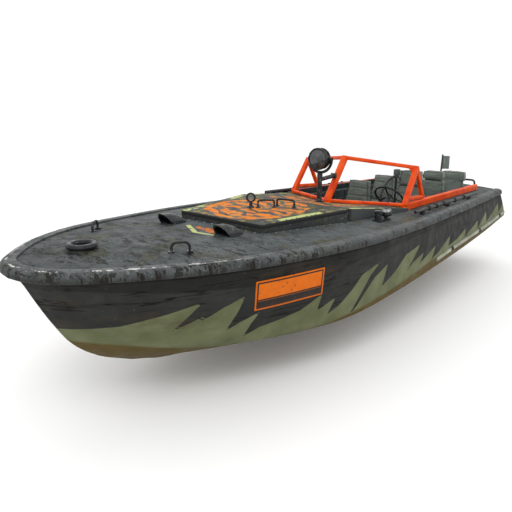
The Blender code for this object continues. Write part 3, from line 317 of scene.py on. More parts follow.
def tube(path, profile, closed=False, up=None):
    """A sweep with mitred corners of a profile along a path."""
    path = [Vector(p) for p in path]
    rings = []
    last_side = None
    for i, p in enumerate(path):
        a = path[i - 1] if (i or closed) else None
        b = path[(i + 1) % len(path)] if (i + 1 < len(path) or closed) else None
        d_in = (p - a).normalized() if a is not None else (b - p).normalized()
        d_out = (b - p).normalized() if b is not None else d_in
        d = (d_in + d_out).normalized()
        stretch = 1 / max(d.dot(d_out), SHARPEST)
        if up is not None or last_side is None:
            side, top = frame_of(d, up or (0, 0, 1))
        else:
            side = (last_side - d * last_side.dot(d)).normalized()
            top = side.cross(d)
        last_side = side
        turn = d_out - d_in
        ring = []
        for u, v in profile:
            offset = side * u + top * v
            if turn.length > 1e-3:
                bend = turn.normalized()
                bend = (bend - d * bend.dot(d)).normalized()
                offset += bend * offset.dot(bend) * (stretch - 1)
            ring.append(p + offset)
        rings.append(ring)
    return shell(rings, loop=closed)


def lathe(centre, axis, profile, sides=32):
    """A body of revolution; profile rows are (distance along the axis, radius)."""
    centre, axis = Vector(centre), Vector(axis).normalized()
    side, top = frame_of(axis)
    return shell([ring_at(centre + axis * s, side, top, circle(max(r, 1e-4), sides)) for s, r in profile])


def bolt(at, axis=(0, 0, 1), radius=0.009, height=0.005):
    """A small domed bolt head on its washer."""
    return lathe(at, axis, ((-0.002, radius * 1.5), (0.001, radius * 1.5), (0.0015, radius),
                            (height * 0.7, radius), (height, radius * 0.6)), 10)


def ripple(at, waves):
    """Noise at a point; waves are (depth, fineness)."""
    return sum(depth * noise.noise(at * fineness) for depth, fineness in waves)


def thicken(ob, thickness, offset):
    plate = ob.modifiers.new("plate", "SOLIDIFY")
    plate.thickness = thickness
    plate.offset = offset


def soften(ob, width):
    """Rounds the edges of a CAD node that stays, without touching its mesh."""
    weld = ob.modifiers.new("weld", "WELD")
    weld.merge_threshold = 0.00005
    bevel = ob.modifiers.new("round", "BEVEL")
    bevel.width = width
    bevel.segments = 3
    bevel.limit_method = "ANGLE"
    bevel.angle_limit = radians(38)
    bevel.harden_normals = True


# Materials
class Wire:
    """A value in a node tree; arithmetic on it adds the nodes that work it out."""

    def __init__(self, paint, socket):
        self.paint, self.socket = paint, socket

    def calc(self, operation, other=0.0):
        return self.paint.calc(operation, self, other)

    def __add__(self, other):
        return self.calc("ADD", other)

    def __sub__(self, other):
        return self.calc("SUBTRACT", other)

    def __rsub__(self, other):
        return self.paint.calc("SUBTRACT", other, self)

    def __mul__(self, other):
        return self.calc("MULTIPLY", other)

    def __truediv__(self, other):
        return self.calc("DIVIDE", other)

    def __abs__(self):
        return self.calc("ABSOLUTE")

    def step(self, low, high, out=(0.0, 1.0)):
        """0 below low, 1 above high, straight between; low may be above high."""
        inputs = {"Value": self, "From Min": low, "From Max": high, "To Min": out[0], "To Max": out[1]}
        return self.paint.add("MapRange", 0, inputs, clamp=True)


class Paint:
    """A node material in the making; each call adds a node and gives its output as a Wire."""

    def __init__(self, name, rough, metal=0.0, gloss=None):
        self.material = bpy.data.materials.new(name)
        self.material.use_nodes = True
        self.nodes = self.material.node_tree.nodes
        self.links = self.material.node_tree.links
        self.shader = self.nodes["Principled BSDF"]
        self.shader.inputs["Roughness"].default_value = rough
        self.shader.inputs["Metallic"].default_value = metal
        if gloss is not None:
            self.shader.inputs["Specular IOR Level"].default_value = gloss
        self.place = self.add("TexCoord", "Object")

    def put(self, socket, value):
        if isinstance(value, Wire):
            self.links.new(value.socket, socket)
        elif isinstance(value, tuple) and socket.type == "RGBA":
            socket.default_value = (*value, 1.0)
        else:
            socket.default_value = value

    def add(self, kind, out, inputs=(), **settings):
        n = self.nodes.new("ShaderNode" + kind)
        for key, value in settings.items():
            setattr(n, key, value)
        for key, value in dict(inputs).items():
            self.put(n.inputs[key], value)
        return Wire(self, n.outputs[out])

    def noise(self, scale, detail=4.0, rough=0.55, stretch=None, warp=0.0):
        at = self.place
        if stretch:
            at = self.add("Mapping", 0, {"Vector": at, "Scale": stretch})
        inputs = {"Vector": at, "Scale": scale, "Detail": detail, "Roughness": rough, "Distortion": warp}
        return self.add("TexNoise", "Fac", inputs)

    def field(self, name):
        return self.add("Attribute", "Fac", attribute_name=name)

    def axis(self, which, of="Object"):
        vector = self.place if of == "Object" else self.add("TexCoord", of)
        return self.add("SeparateXYZ", which, {"Vector": vector})

    def calc(self, operation, a, b):
        return self.add("Math", 0, {0: a, 1: b}, operation=operation)

    def mix(self, factor, a, b):
        return self.add("MixRGB", 0, {"Fac": factor, "Color1": a, "Color2": b})

    def patches(self, colour, tint, limits, share, *noise):
        """Colour with patches of a tint, where a noise rises through two limits."""
        return self.mix(self.noise(*noise).step(*limits, (0, share)), colour, tint)

    def bump(self, *layers):
        """Layers are a height, as a Wire or as the scale and detail of a noise, and a depth in metres."""
        normal = None
        for *height, depth in layers:
            height = height[0] if isinstance(height[0], Wire) else self.noise(*height)
            inputs = {"Height": height, "Distance": depth, "Strength": 1.0}
            if normal is not None:
                inputs["Normal"] = normal
            normal = self.add("Bump", 0, inputs)
        self.put(self.shader.inputs["Normal"], normal)

    def finish(self, colour, rough=None, scale=9, detail=4, limits=(0.3, 0.7)):
        """Colour, and roughness that varies over a range with a noise."""
        self.put(self.shader.inputs["Base Color"], colour)
        if rough:
            self.put(self.shader.inputs["Roughness"], self.noise(scale, detail).step(*limits, rough))
        return self.material


def dash(x, y, start, end, half):
    """1 on a straight painted strip from start to end, both (x, y)."""
    (x0, y0), (x1, y1) = start, end
    length = hypot(x1 - x0, y1 - y0)
    u, v = (x1 - x0) / length, (y1 - y0) / length
    dx, dy = x - x0, y - y0
    along, across = abs(dx * u + dy * v - length / 2), abs(dx * v - dy * u)
    return along.step(length / 2, length / 2 - 0.006) * across.step(half, half - 0.005)


FLAKES = (6.5, 7, 0.72, (0.8, 1.6, 1))      # the noise that the deck's dark flakes follow
PALE = (0.42, 0.47, 0.17)                   # the pale strips of the lid and in front of the hatch


def hull_paint():
    p = Paint("hull_paint", 0.55, gloss=0.12)
    wobble = (p.noise(20, 5) - 0.5) * 0.006
    charcoal = p.patches((0.0150, 0.0160, 0.0145), (0.0250, 0.0265, 0.0240), (0.35, 0.7), 1, 2.2, 5)
    charcoal = p.mix((p.field("band") + wobble).step(-0.006, 0.006), charcoal, (0.0110, 0.0110, 0.0096))
    streak = p.noise(3.0, 6, 0.62, (0.5, 0.5, 7.0), 0.6)
    charcoal = p.mix(streak.step(0.58, 0.66, (0, 0.75)), charcoal, (0.010, 0.0095, 0.0080))
    # thin dark cracks that run along the bow
    crack = abs(p.noise(2.4, 4, 0.5, (0.45, 0.45, 6.5), 0.4) - 0.47).step(0.026, 0.014)
    crack = crack * p.noise(3.4, 5, 0.65, (0.6, 0.6, 1.6)).step(0.47, 0.52)
    crack = crack * p.axis("Y").step(-0.4, -1.6, (0.20, 1.0))
    charcoal = p.mix(crack, charcoal, (0.0030, 0.0020, 0.0008))
    olive = p.patches((0.090, 0.100, 0.047), (0.142, 0.156, 0.082), (0.35, 0.68), 1, 3.1, 6)
    olive = p.mix(streak.step(0.62, 0.74, (0, 0.55)), olive, (0.060, 0.058, 0.028))
    colour = p.mix((p.field("olive") + wobble).step(-0.003, 0.003), charcoal, olive)
    brown = p.mix(p.noise(5, 5), (0.062, 0.042, 0.010), (0.104, 0.074, 0.022))
    colour = p.mix((p.field("brown") + wobble).step(-0.010, 0.012), colour, brown)
    # rust and chips
    colour = p.patches(colour, (0.050, 0.031, 0.012), (0.58, 0.70), 0.45, 1.7, 8, 0.7, (1, 0.6, 3))
    colour = p.patches(colour, (0.10, 0.10, 0.09), (0.70, 0.73), 0.5, 38, 3)
    # painted shadow: a near-black band on the plating right under the rub rail
    under_rail_shadow = (p.field("under") + wobble * 1.5).step(0.036, 0.020, (0, 0.98))
    colour = p.mix(under_rail_shadow, colour, (0.0004, 0.0004, 0.0003))
    p.bump((6, 6, 0.0018), (90, 3, 0.0006), (crack, -0.0012))
    return p.finish(colour, (0.50, 0.75))


def deck_colour(p, base, light, moss_share=0.85):
    """Worn grey paint with dark and olive patches, black flakes and scratches, and bright flecks."""
    colour = p.patches(base, light, (0.34, 0.68), 1, 2.6, 6)
    colour = p.patches(colour, (0.034, 0.038, 0.038), (0.52, 0.62), 0.6, 5.5, 6, 0.62)
    moss = p.noise(3.6, 7, 0.66, (1.3, 0.9, 1))
    colour = p.mix(moss.step(0.555, 0.59, (0, moss_share)), colour, (0.066, 0.062, 0.018))
    share = p.axis("Y").step(-0.9, -2.0, (0.25, 0.92))     # most of the flaking is at the bow
    flakes = p.noise(*FLAKES).step(0.552, 0.568)
    colour = p.mix(flakes * share, colour, (0.009, 0.009, 0.0075))
    bits = p.noise(17, 5, 0.72, (0.8, 1.6, 1)).step(0.580, 0.592)
    colour = p.mix(bits * share, colour, (0.008, 0.008, 0.007))
    colour = p.mix(abs(moss - 0.557).step(0.006, 0.003), colour, (0.008, 0.008, 0.006))
    return p.patches(colour, (0.20, 0.21, 0.205), (0.62, 0.66), 0.6, 45, 3)


def coaming_paint():
    """The darker grey of the hatch's upright sides."""
    p = Paint("coaming_paint", 0.6, gloss=0.25)
    colour = deck_colour(p, (0.026, 0.028, 0.028), (0.048, 0.051, 0.050), 0.35)
    p.bump((8, 5, 0.003), (60, 3, 0.001))
    return p.finish(colour, (0.45, 0.72))


def deck_paint():
    p = Paint("deck_paint", 0.6, gloss=0.12)
    colour = deck_colour(p, (0.060, 0.070, 0.072), (0.100, 0.114, 0.117), 0.6)
    x, y = p.axis("X"), p.axis("Y")
    colour = p.mix(y.step(-0.6, -2.4, (0, 0.32)), colour, (0.014, 0.015, 0.013))
    # worn dashes of the hatch's colours in front of it
    smudge = dash(x, y, (-0.06, -1.72), (0.24, -1.80), 0.055) * p.noise(16, 5, 0.6).step(0.50, 0.54)
    colour = p.mix(smudge, colour, (0.50, 0.13, 0.014))
    pale = dash(x, y, (-0.16, -1.75), (0.13, -1.93), 0.024)
    pale = pale.calc("MAXIMUM", dash(x, y, (0.12, -1.92), (0.30, -1.88), 0.020))
    colour = p.mix(pale * p.noise(14, 6, 0.65).step(0.40, 0.46), colour, PALE)
    p.bump((5, 5, 0.004), (*FLAKES, 0.004), (130, 2, 0.0008))
    return p.finish(colour, (0.50, 0.80), 8, 5)


def rail_paint():
    """Deck paint, darkened down the outer face as painted shade, with chips round the bow whose bright ones
    are bare metal and also a painted highlight on the shoulder, a painted highlight line along the upper
    edge, and dark runs down the outer face.
    """
    p = Paint("rail_paint", 0.55, gloss=0.16)
    down = p.field("down")
    colour = deck_colour(p, (0.062, 0.070, 0.071), (0.102, 0.113, 0.114), 0.22)
    # painted shade: the outer face darkens down its height, below the lit top
    colour = p.mix(down.step(0.25, 0.80, (0, 0.72)), colour, (0.0165, 0.017, 0.0145))
    runs = p.noise(6.0, 4, 0.6, (3.6, 3.6, 0.22)).step(0.555, 0.60, (0, 0.95)) * down.step(0.10, 0.45)
    colour = p.mix(runs, colour, (0.0075, 0.0058, 0.0035))
    bow = (p.axis("Y") + p.noise(1.3, 2) * 0.8).step(-1.6, -2.3)
    shoulder = abs(down - 0.10).step(0.30, 0.04)
    chips_and_highlight = p.noise(13, 7, 0.74)
    # bright chips along the shoulder round the bow: bare metal, and also a painted highlight there
    colour = p.mix((chips_and_highlight * shoulder).step(0.530, 0.550) * bow, colour, (0.50, 0.50, 0.48))
    colour = p.mix(((1.0 - chips_and_highlight) * shoulder).step(0.56, 0.60) * bow, colour, (0.008, 0.009, 0.011))
    # painted highlight: a thin bright line along the upper edge of the outer face
    thin = abs(down - 0.13).step(0.07, 0.01, (0, 0.45)) * p.noise(3.1, 4).step(0.42, 0.60)
    colour = p.mix(thin, colour, (0.17, 0.175, 0.17))
    p.bump((7, 5, 0.004), (60, 3, 0.001))
    return p.finish(colour, (0.42, 0.70), 10)


def orange_paint(name="orange_paint", dark_inside=False):
    """Chipped orange; with dark_inside, faces towards the cockpit are a dark grey close to the cockpit's
    inside colour.
    """
    p = Paint(name, 0.42, gloss=0.18)
    colour = p.patches((0.62, 0.036, 0.001), (0.82, 0.100, 0.003), (0.3, 0.7), 1, 7, 4)
    colour = p.patches(colour, (0.075, 0.022, 0.012), (0.64, 0.67), 0.85, 30, 6, 0.6)
    colour = p.patches(colour, (0.24, 0.026, 0.008), (0.60, 0.75), 0.5, 11, 6, 0.7)
    if dark_inside:
        inner = (p.axis("X", "Normal") * p.axis("X").calc("SIGN")).step(-0.35, -0.60)
        dark = p.patches((0.014, 0.017, 0.018), (0.030, 0.035, 0.036), (0.35, 0.7), 1, 6, 5)
        colour = p.mix(inner, colour, dark)
    p.bump((25, 4, 0.0012))
    return p.finish(colour, (0.32, 0.55), 14)


def plain_paint(name, rough, base, patches, bump, range_of_rough=(), metal=0.0):
    """A paint from its base (two colours), its patches, one bump and its roughness, as Paint takes them."""
    p = Paint(name, rough, metal)
    colour = p.patches(*base)
    for patch in patches:
        colour = p.patches(colour, *patch)
    p.bump(bump)
    return p.finish(colour, *range_of_rough)


def canvas():
    """Coated canvas: a fine weave, darker along the creases as painted shade, and with yellowish stains."""
    p = Paint("canvas", 0.85, gloss=0.25)
    colour = p.patches((0.098, 0.120, 0.102), (0.165, 0.190, 0.166), (0.32, 0.7), 1, 6, 6)
    creases = p.noise(9, 6, 0.68, (0.6, 0.6, 2.4), 0.3)
    # painted shade: the cover darkens along its creases
    colour = p.mix(creases.step(0.54, 0.64, (0, 0.65)), colour, (0.052, 0.056, 0.044))
    colour = p.patches(colour, (0.105, 0.105, 0.065), (0.60, 0.70), 0.35, 4, 5)
    weave = p.add("TexVoronoi", "Distance", {"Vector": p.place, "Scale": 520})
    p.bump((creases, 0.008), (weave, 0.0006))
    p.shader.inputs["Sheen Weight"].default_value = 0.10
    return p.finish(colour)


def lid_paint():
    """Dark grey with a worn, plain splinter pattern: orange strokes, with pale strips at the edges."""
    p = Paint("lid_paint", 0.6, gloss=0.12)
    colour = deck_colour(p, (0.040, 0.044, 0.040), (0.075, 0.080, 0.070))
    x, y = p.axis("X"), p.axis("Y")
    top = p.axis("Z", "Normal").step(0.75, 0.9)
    colour = p.mix(top, p.mix(y.step(-0.40, -0.36), (0.026, 0.027, 0.026), (0.060, 0.068, 0.068)), colour)
    wear = p.noise(9, 7, 0.65).step(0.40, 0.47)
    # yellow and olive dabs over the whole field, behind the strokes
    dabs = p.noise(10, 4, 0.6, (1, 0.7, 1)).step(0.55, 0.59) * top
    colour = p.mix(dabs * 0.75, colour, p.mix(p.noise(3.5, 3), (0.16, 0.13, 0.028), (0.34, 0.30, 0.075)))
    # strokes: bands across the lid, broken and bent, inside a ragged ring
    along = y + x * 0.28 + (p.noise(2.6, 2) - 0.5) * 0.46
    stroke = (along * 38).calc("SINE").step(-0.62, -0.48) * p.noise(6.5, 4, 0.6, (1, 2.2, 1)).step(0.40, 0.44)
    dx, dy = (x + 0.02) / 0.50, (y + 0.98) / 0.54
    reach = dx * dx + dy * dy + (p.noise(5, 3) - 0.5) * 0.8
    rim = abs(reach - 0.84).step(0.12, 0.09) * p.noise(4, 3).step(0.42, 0.46)
    orange = (stroke * reach.step(0.98, 0.92)).calc("MAXIMUM", rim)
    # loose smudges of the same paint on the cowl
    cowl = y.step(-0.45, -0.38) * p.noise(7, 5, 0.6).step(0.50, 0.54) * abs(x).step(0.52, 0.44)
    orange = orange.calc("MAXIMUM", cowl)
    tint = p.mix(p.noise(8, 4), (0.54, 0.120, 0.004), (0.72, 0.235, 0.012))
    colour = p.mix(orange * wear * top, colour, tint)
    # pale strips just inside the side edges, broken into lengths
    inset = y * 0.164 + 0.759 - abs(x)
    strip = inset.step(0.012, 0.018) * inset.step(0.095, 0.085)
    lengths = (y * 6.3 + x * 3.0).calc("SINE").step(-0.30, -0.20)
    colour = p.mix(strip * lengths * wear * top, colour, PALE)
    p.bump((6, 5, 0.003), (120, 2, 0.0006))
    return p.finish(colour, (0.50, 0.78), 9, 5)


def lens_glass():
    """Dusty domed glass over a dark bowl."""
    p = Paint("lens_glass", 0.12)
    colour = p.patches((0.012, 0.014, 0.016), (0.070, 0.076, 0.076), (0.42, 0.66), 1, 16, 6, 0.65)
    p.bump((10, 3, 0.002))
    p.shader.inputs["Coat Weight"].default_value = 0.7
    p.shader.inputs["Coat Roughness"].default_value = 0.08
    return p.finish(colour, (0.12, 0.45), 24, 5, (0.4, 0.7))


def lamp_glass_painted_shine():
    """Clear glass of the small deck lamp, painted bright as a painted reflection of the bowl behind it."""
    p = Paint("lamp_glass_painted_shine", 0.1)
    return p.finish(p.mix(p.noise(60, 3), (0.20, 0.21, 0.21), (0.46, 0.47, 0.46)))


def sign_paint():
    """A blank orange panel with a thin dark frame and a dark lower part."""
    p = Paint("sign_paint", 0.5, gloss=0.12)
    u, v = p.field("u"), p.field("v")
    edge_u, edge_v = u.calc("MINIMUM", 1.0 - u), v.calc("MINIMUM", 1.0 - v)
    line_u, line_v = abs(edge_u - 0.030).step(0.011, 0.008), abs(edge_v - 0.080).step(0.030, 0.022)
    in_u, in_v = edge_u.step(0.018, 0.024), edge_v.step(0.045, 0.055)
    divide = abs(v - 0.34).step(0.030, 0.022) * in_u
    line = (line_u * in_v).calc("MAXIMUM", line_v * in_u).calc("MAXIMUM", divide)
    colour = p.mix(p.noise(12, 6), (0.52, 0.092, 0.001), (0.68, 0.155, 0.003))
    colour = p.mix(line, colour, (0.020, 0.016, 0.012))
    lower = v.step(0.31, 0.30) * (in_u * v.step(0.10, 0.11))
    colour = p.mix(lower, colour, (0.020, 0.017, 0.014))
    colour = p.patches(colour, (0.10, 0.05, 0.025), (0.60, 0.66), 0.8, 22, 6, 0.65)
    p.bump((30, 4, 0.001))
    return p.finish(colour, (0.4, 0.65))


MATERIALS = {
    "hull": hull_paint(), "deck": deck_paint(), "rail": rail_paint(), "coaming": coaming_paint(),
    "lid": lid_paint(), "orange": orange_paint(),
    "cockpit_rail": orange_paint("cockpit_rail_paint", dark_inside=True),
    "canvas": canvas(), "glass": lens_glass(), "shine_glass": lamp_glass_painted_shine(), "sign": sign_paint(),
    "dark": plain_paint(
        "dark_metal", 0.45, ((0.0085, 0.0100, 0.0115), (0.021, 0.0235, 0.025), (0.35, 0.7), 1, 12, 5),
        (((0.15, 0.155, 0.155), (0.60, 0.65), 0.8, 34, 6, 0.6),
         ((0.045, 0.028, 0.014), (0.62, 0.75), 0.6, 9, 6, 0.7)), (60, 4, 0.0008), ((0.30, 0.60), 20), 0.3),
    "steel": plain_paint("dull_steel", 0.4, ((0.20, 0.205, 0.21), (0.36, 0.36, 0.35), (0, 1), 1, 18, 6), (),
                         (80, 3, 0.0005), ((0.28, 0.5), 25), 0.9),
    "bronze": plain_paint("bronze", 0.35, ((0.46, 0.27, 0.10), (0.20, 0.20, 0.11), (0.4, 0.7), 1, 14, 6), (),
                          (70, 3, 0.0005), ((0.28, 0.5), 22), 0.95),
    "strip": plain_paint(               # rubbed pale paint of the strip along the chine
        "strip_paint", 0.5, ((0.150, 0.160, 0.115), (0.300, 0.310, 0.245), (0.35, 0.68), 1, 6, 6),
        (((0.060, 0.048, 0.022), (0.60, 0.68), 0.75, 14, 5, 0.65),), (30, 4, 0.0015), ((0.40, 0.65),)),
    "inside": plain_paint(
        "inside_paint", 0.65, ((0.014, 0.019, 0.021), (0.032, 0.041, 0.043), (0.35, 0.7), 1, 5, 6),
        (((0.050, 0.044, 0.030), (0.60, 0.68), 0.7, 13, 6, 0.65),), (30, 4, 0.0015)),
    "welt": plain_paint(                # the covered cord that is sewn along a pad's edge
        "welt", 0.8, ((0.030, 0.033, 0.028), (0.070, 0.076, 0.064), (0.35, 0.7), 1, 9, 5),
        (((0.060, 0.056, 0.042), (0.60, 0.70), 0.6, 30, 4),), (260, 2, 0.0005)),
    "box": plain_paint(
        "box_paint", 0.6, ((0.040, 0.052, 0.050), (0.085, 0.100, 0.094), (0.35, 0.7), 1, 12, 5),
        (((0.018, 0.018, 0.016), (0.60, 0.66), 0.7, 40, 5),), (60, 3, 0.0008)),
    "cord": plain_paint(
        "cord", 0.85, ((0.016, 0.015, 0.013), (0.060, 0.055, 0.045), (0.35, 0.7), 1, 30, 5), (),
        (220, 2, 0.001)),
}


def dress_nodes():
    """Gives the CAD nodes that stay their materials, and some of them rounded edges."""
    dark = ["lamp_post", "engine", "bow_ring", "lid_ring", "lid_handle_fore", "lid_handle_aft", "deck_light",
            "stern_grab_rail", "flag_staff"]
    for side in ("port", "starboard"):
        dark += ["scoop_" + side, "deck_handle_" + side, "pole_" + side]
        dark += ["pole_%s_stand_%s" % (side, place) for place in ("fore", "mid", "aft")]
    for material, rounding, names in (
            ("dark", 0, dark), ("hull", 0, ["keel_bar"]), ("bronze", 0, ["propeller"]),
            ("steel", 0, ["shaft_strut", "rudder"]), ("coaming", 0.004, ["hatch_coaming"]),
            ("lid", 0.006, ["cowl"]),
            ("cockpit_rail", 0.005, ["cockpit_rail_port", "cockpit_rail_starboard"]),
            ("inside", 0.004, ["bulkhead", "aft_bulkhead", "cockpit_sole", "helm_console"])):
        for name in names:
            ob = NODES[name]
            ob.data.materials.clear()
            ob.data.materials.append(MATERIALS[material])
            if rounding:
                soften(ob, rounding)


# Hull
HULL_STEP = 0.016         # distance between the sections of the skin
SIDE_STEPS, TURN_STEPS, BOTTOM_STEPS = 30, 10, 12         # points down a half section
FAIRING = 0.75            # how far a section leaves its straight lines for the smooth curve
STEM_HALF = 0.012         # half breadth of the stem
RAIL_UNDER = 0.033        # the rail's lower edge, below the upper edge of the plating
STEM_FACE = 0.008         # half breadth of the narrow face at the stem
# How far the plating draws in under the rail at the stem, forward of which y and towards which y in the
# middle, over what length, and how many points of the section
STEM_TUCK, TUCK_FROM_Y, TUCK_TOWARDS_Y, TUCK_LENGTH, TUCK_POINTS = 0.027, -2.85, -2.25, 0.45, 20


def half_section(g, c, b, k):
    """Smooth half section through the points of the gunwale, the chine, the bilge and the keel."""
    p = [2 * g - c, g, c, b, k, 2 * k - b]
    out = []
    for count, *four in zip((SIDE_STEPS, TURN_STEPS, BOTTOM_STEPS), p, p[1:], p[2:], p[3:]):
        for i in range(count):
            t = i / count
            out.append(four[1].lerp(four[2], t).lerp(spline(*four, t), FAIRING))
    return out + [k]


def hull_sections():
    """Half sections from the stem to the transom, each from the gunwale to the keel."""
    sections = []
    run = [p for p in GUNWALE if p.y < BOW_END - 0.02] + [at_y(GUNWALE, BOW_END)]
    fine = [run[0]]
    for a, b in zip(run, run[1:]):
        count = max(round((b - a).length / HULL_STEP), 1)
        fine += [a.lerp(b, (i + 1) / count) for i in range(count)]
    along = lengths_along(fine)
    for g, length in zip(fine, along):
        c, b, k = (at_share(line, BOW_END, length / along[-1]) for line in (CHINE, BILGE, KEEL))
        g = vec(max(g.x, STEM_HALF), g.y, g.z - DECK)
        half = half_section(g, c, b, k)
        tuck = STEM_TUCK * min(max((TUCK_FROM_Y - g.y) / TUCK_LENGTH, 0.0), 1.0)
        inward = vec(-g.x, TUCK_TOWARDS_Y - g.y, 0).normalized()
        for i, p in enumerate(half[:TUCK_POINTS]):
            p += inward * (tuck * (1 - i / TUCK_POINTS) ** 1.5)
        for p in half[:-1]:
            p.x = max(p.x, STEM_FACE)
        sections.append(half)
    for y in spread(BOW_END, STERN, HULL_STEP)[1:]:
        g, c, b, k = (at_y(line, y) for line in (GUNWALE, CHINE, BILGE, KEEL))
        g.z -= DECK
        sections.append(half_section(g, c, b, k))
    return sections


def stripe_depth(y, z):
    """How far inside the olive paint points are, negative outside; y and z are arrays."""
    line = list(STRIPE_EDGE) + [(3.6, -1.0), (-3.5, -1.0)]
    best = np.full(len(y), 1e9)
    inside = np.zeros(len(y), bool)
    for (y0, z0), (y1, z1) in zip(line, line[1:] + line[:1]):
        dy, dz = y1 - y0, z1 - z0
        t = np.clip(((y - y0) * dy + (z - z0) * dz) / (dy * dy + dz * dz), 0, 1)
        best = np.minimum(best, np.hypot(y - y0 - dy * t, z - z0 - dz * t))
        if dz:
            inside ^= ((z0 > z) != (z1 > z)) & (y < y0 + (z - z0) * dy / dz)
    return np.where(inside, best, -best)


def write_field(mesh, name, values):
    layer = mesh.attributes.new(name, "FLOAT", "POINT")
    layer.data.foreach_set("value", np.asarray(values, dtype=np.float32))


def coordinates(mesh):
    flat = np.empty(len(mesh.vertices) * 3, dtype=np.float32)
    mesh.vertices.foreach_get("co", flat)
    return flat.reshape(-1, 3)


def hull_skin():
    rings = [half + mirror(half[:-1])[::-1] for half in hull_sections()]
    n = len(rings[0])
    verts = [p for ring in rings for p in ring]
    faces = grid_faces(len(rings), n)
    faces.append(tuple(range(len(verts) - n, len(verts))))
    # the narrow face of the stem, between the two sides
    faces += [(n - 1 - i, n - 2 - i, i + 1, i) for i in range(n // 2 - 1)]
    faces.append((n // 2 + 1, n // 2, n // 2 - 1))
    names = ("hull_bow", "hull_bottom", "hull_side_port", "hull_side_starboard", "transom")
    mesh = piece("hull_skin", (verts, faces), "hull", smooth=30, replaces=names).data
    y, z = coordinates(mesh)[:, 1:].T
    write_field(mesh, "olive", stripe_depth(y, z))
    write_field(mesh, "band", z - np.interp(y, *zip(*BAND_EDGE)))
    write_field(mesh, "brown", np.interp(y, *zip(*BROWN_EDGE)) - z)
    write_field(mesh, "under", np.repeat([ring[0].z for ring in rings], n) - RAIL_UNDER - z)
    return mesh


def signs(tree):
    """The blank panel, laid on the plating of each side."""
    columns, rows, lift = 28, 12, 0.0025
    (y0, z0), (y1, z1), (y2, z2), (y3, z3) = SIGN
    uv = [(c / columns, r / rows) for r in range(rows + 1) for c in range(columns + 1)]
    for side, name in ((1, "sign_port"), (-1, "sign_starboard")):
        verts = []
        for u, v in uv:
            y = (y3 + (y2 - y3) * u) * (1 - v) + (y0 + (y1 - y0) * u) * v
            z = (z3 + (z2 - z3) * u) * (1 - v) + (z0 + (z1 - z0) * u) * v
            hit = tree.ray_cast(vec(3 * side, y, z), vec(-side, 0, 0))[0]
            verts.append(hit + vec(side, 0, 0) * lift)
        mesh = mesh_of(name, verts, grid_faces(rows + 1, columns + 1))
        write_field(mesh, "u", [u for u, v in uv])
        write_field(mesh, "v", [v for u, v in uv])
        thicken(piece_from(name, mesh, "sign"), 0.002, 0)


BAY_END = 0.16            # where the engine space ends and the cockpit begins


def liner():
    """Inner walls, with upright battens in the cockpit, and the plating under the engine."""
    wall, over_keel = 0.012, 0.06
    parts = []
    for side in (1, -1):
        rings = []
        for y in spread(BOW_END, AFT_DECK, 0.1):
            x = table(LINER, y)
            low, top = -0.40 if y < BAY_END else SOLE - 0.03, deck_z(x, y) - DECK
            section = (x, low), (x, top), (x + wall, top), (x + wall, low)
            rings.append([vec(u * side, y, z) for u, z in section])
        parts.append(shell(rings))
        for y in spread(0.42, 3.02, 0.26):
            x = table(LINER, y) - 0.006
            path = [(x * side, y, SOLE), (x * side, y, deck_z(x, y) - DECK - 0.002)]
            parts.append(tube(path, rounded(0.030, 0.022, 0.005, 2)))
        for z in (0.10, 0.28):
            path = [((table(LINER, y) - 0.008) * side, y, z) for y in spread(0.22, 3.13, 0.4)]
            parts.append(tube(path, rounded(0.016, 0.035, 0.004, 2), up=(0, 0, 1)))
    k, b = at_y(KEEL, BOW_END), at_y(BILGE, BOW_END)
    half = LINER[0][1]
    top = deck_z(half, BOW_END) - DECK
    low = k.z + (b.z - k.z) * half / b.x + over_keel
    corners = ((-half, top), (-half, low), (0, k.z + over_keel), (half, low), (half, top))
    fore_wall = [vec(x, BOW_END - 0.004, z) for x, z in corners]
    parts.append(shell([fore_wall, [p + vec(0, 0.003, 0) for p in fore_wall]]))
    piece("liner", join(*parts), "inside")
    rings = []
    for y in spread(BOW_END, BAY_END, 0.1):
        k, b, x = at_y(KEEL, y), at_y(BILGE, y), table(LINER, y)
        top = [vec(x * u, y, k.z + (b.z - k.z) * abs(u) * (x / b.x) + 0.055) for u in (-1, 0, 1)]
        rings.append(top + [p - vec(0, 0, 0.02) for p in reversed(top)])
    piece("bay_floor", shell(rings), "inside")


def spray_rail():
    """Pale strip along the after half of each chine, with dark fittings a metre apart."""
    knob = ((0, 0.030), (0.008, 0.030), (0.014, 0.022), (0.020, 0.012), (0.021, 0.004))
    for side, tag in ((1, "port"), (-1, "starboard")):
        line = [(at_y(CHINE, y), y) for y in spread(0.75, STERN - 0.01, 0.1)]
        path = [((c.x + 0.001) * side, y, c.z - 0.008) for c, y in line]
        piece("spray_rail_" + tag, tube(path, rounded(0.024, 0.044, 0.008, 2), up=(0, 0, 1)), "strip")
        knobs = []
        for y in (1.2, 2.2, 3.2):
            c = at_y(CHINE, y)
            at = vec((c.x + 0.008) * side, y, c.z - 0.006)
            knobs.append(lathe(at, (side, 0, 0), knob, 16))
            knobs += [bolt(at + vec(0, dy, -0.006), (side, 0, 0), 0.006, 0.006) for dy in (-0.048, 0.048)]
        piece("spray_rail_fittings_" + tag, join(*knobs), "dark")


# Deck and rail
DECK_WAVES = ((0.0012, 3.0),)
RAIL_DENTS = ((0.0022, 9.0), (0.0012, 31.0))


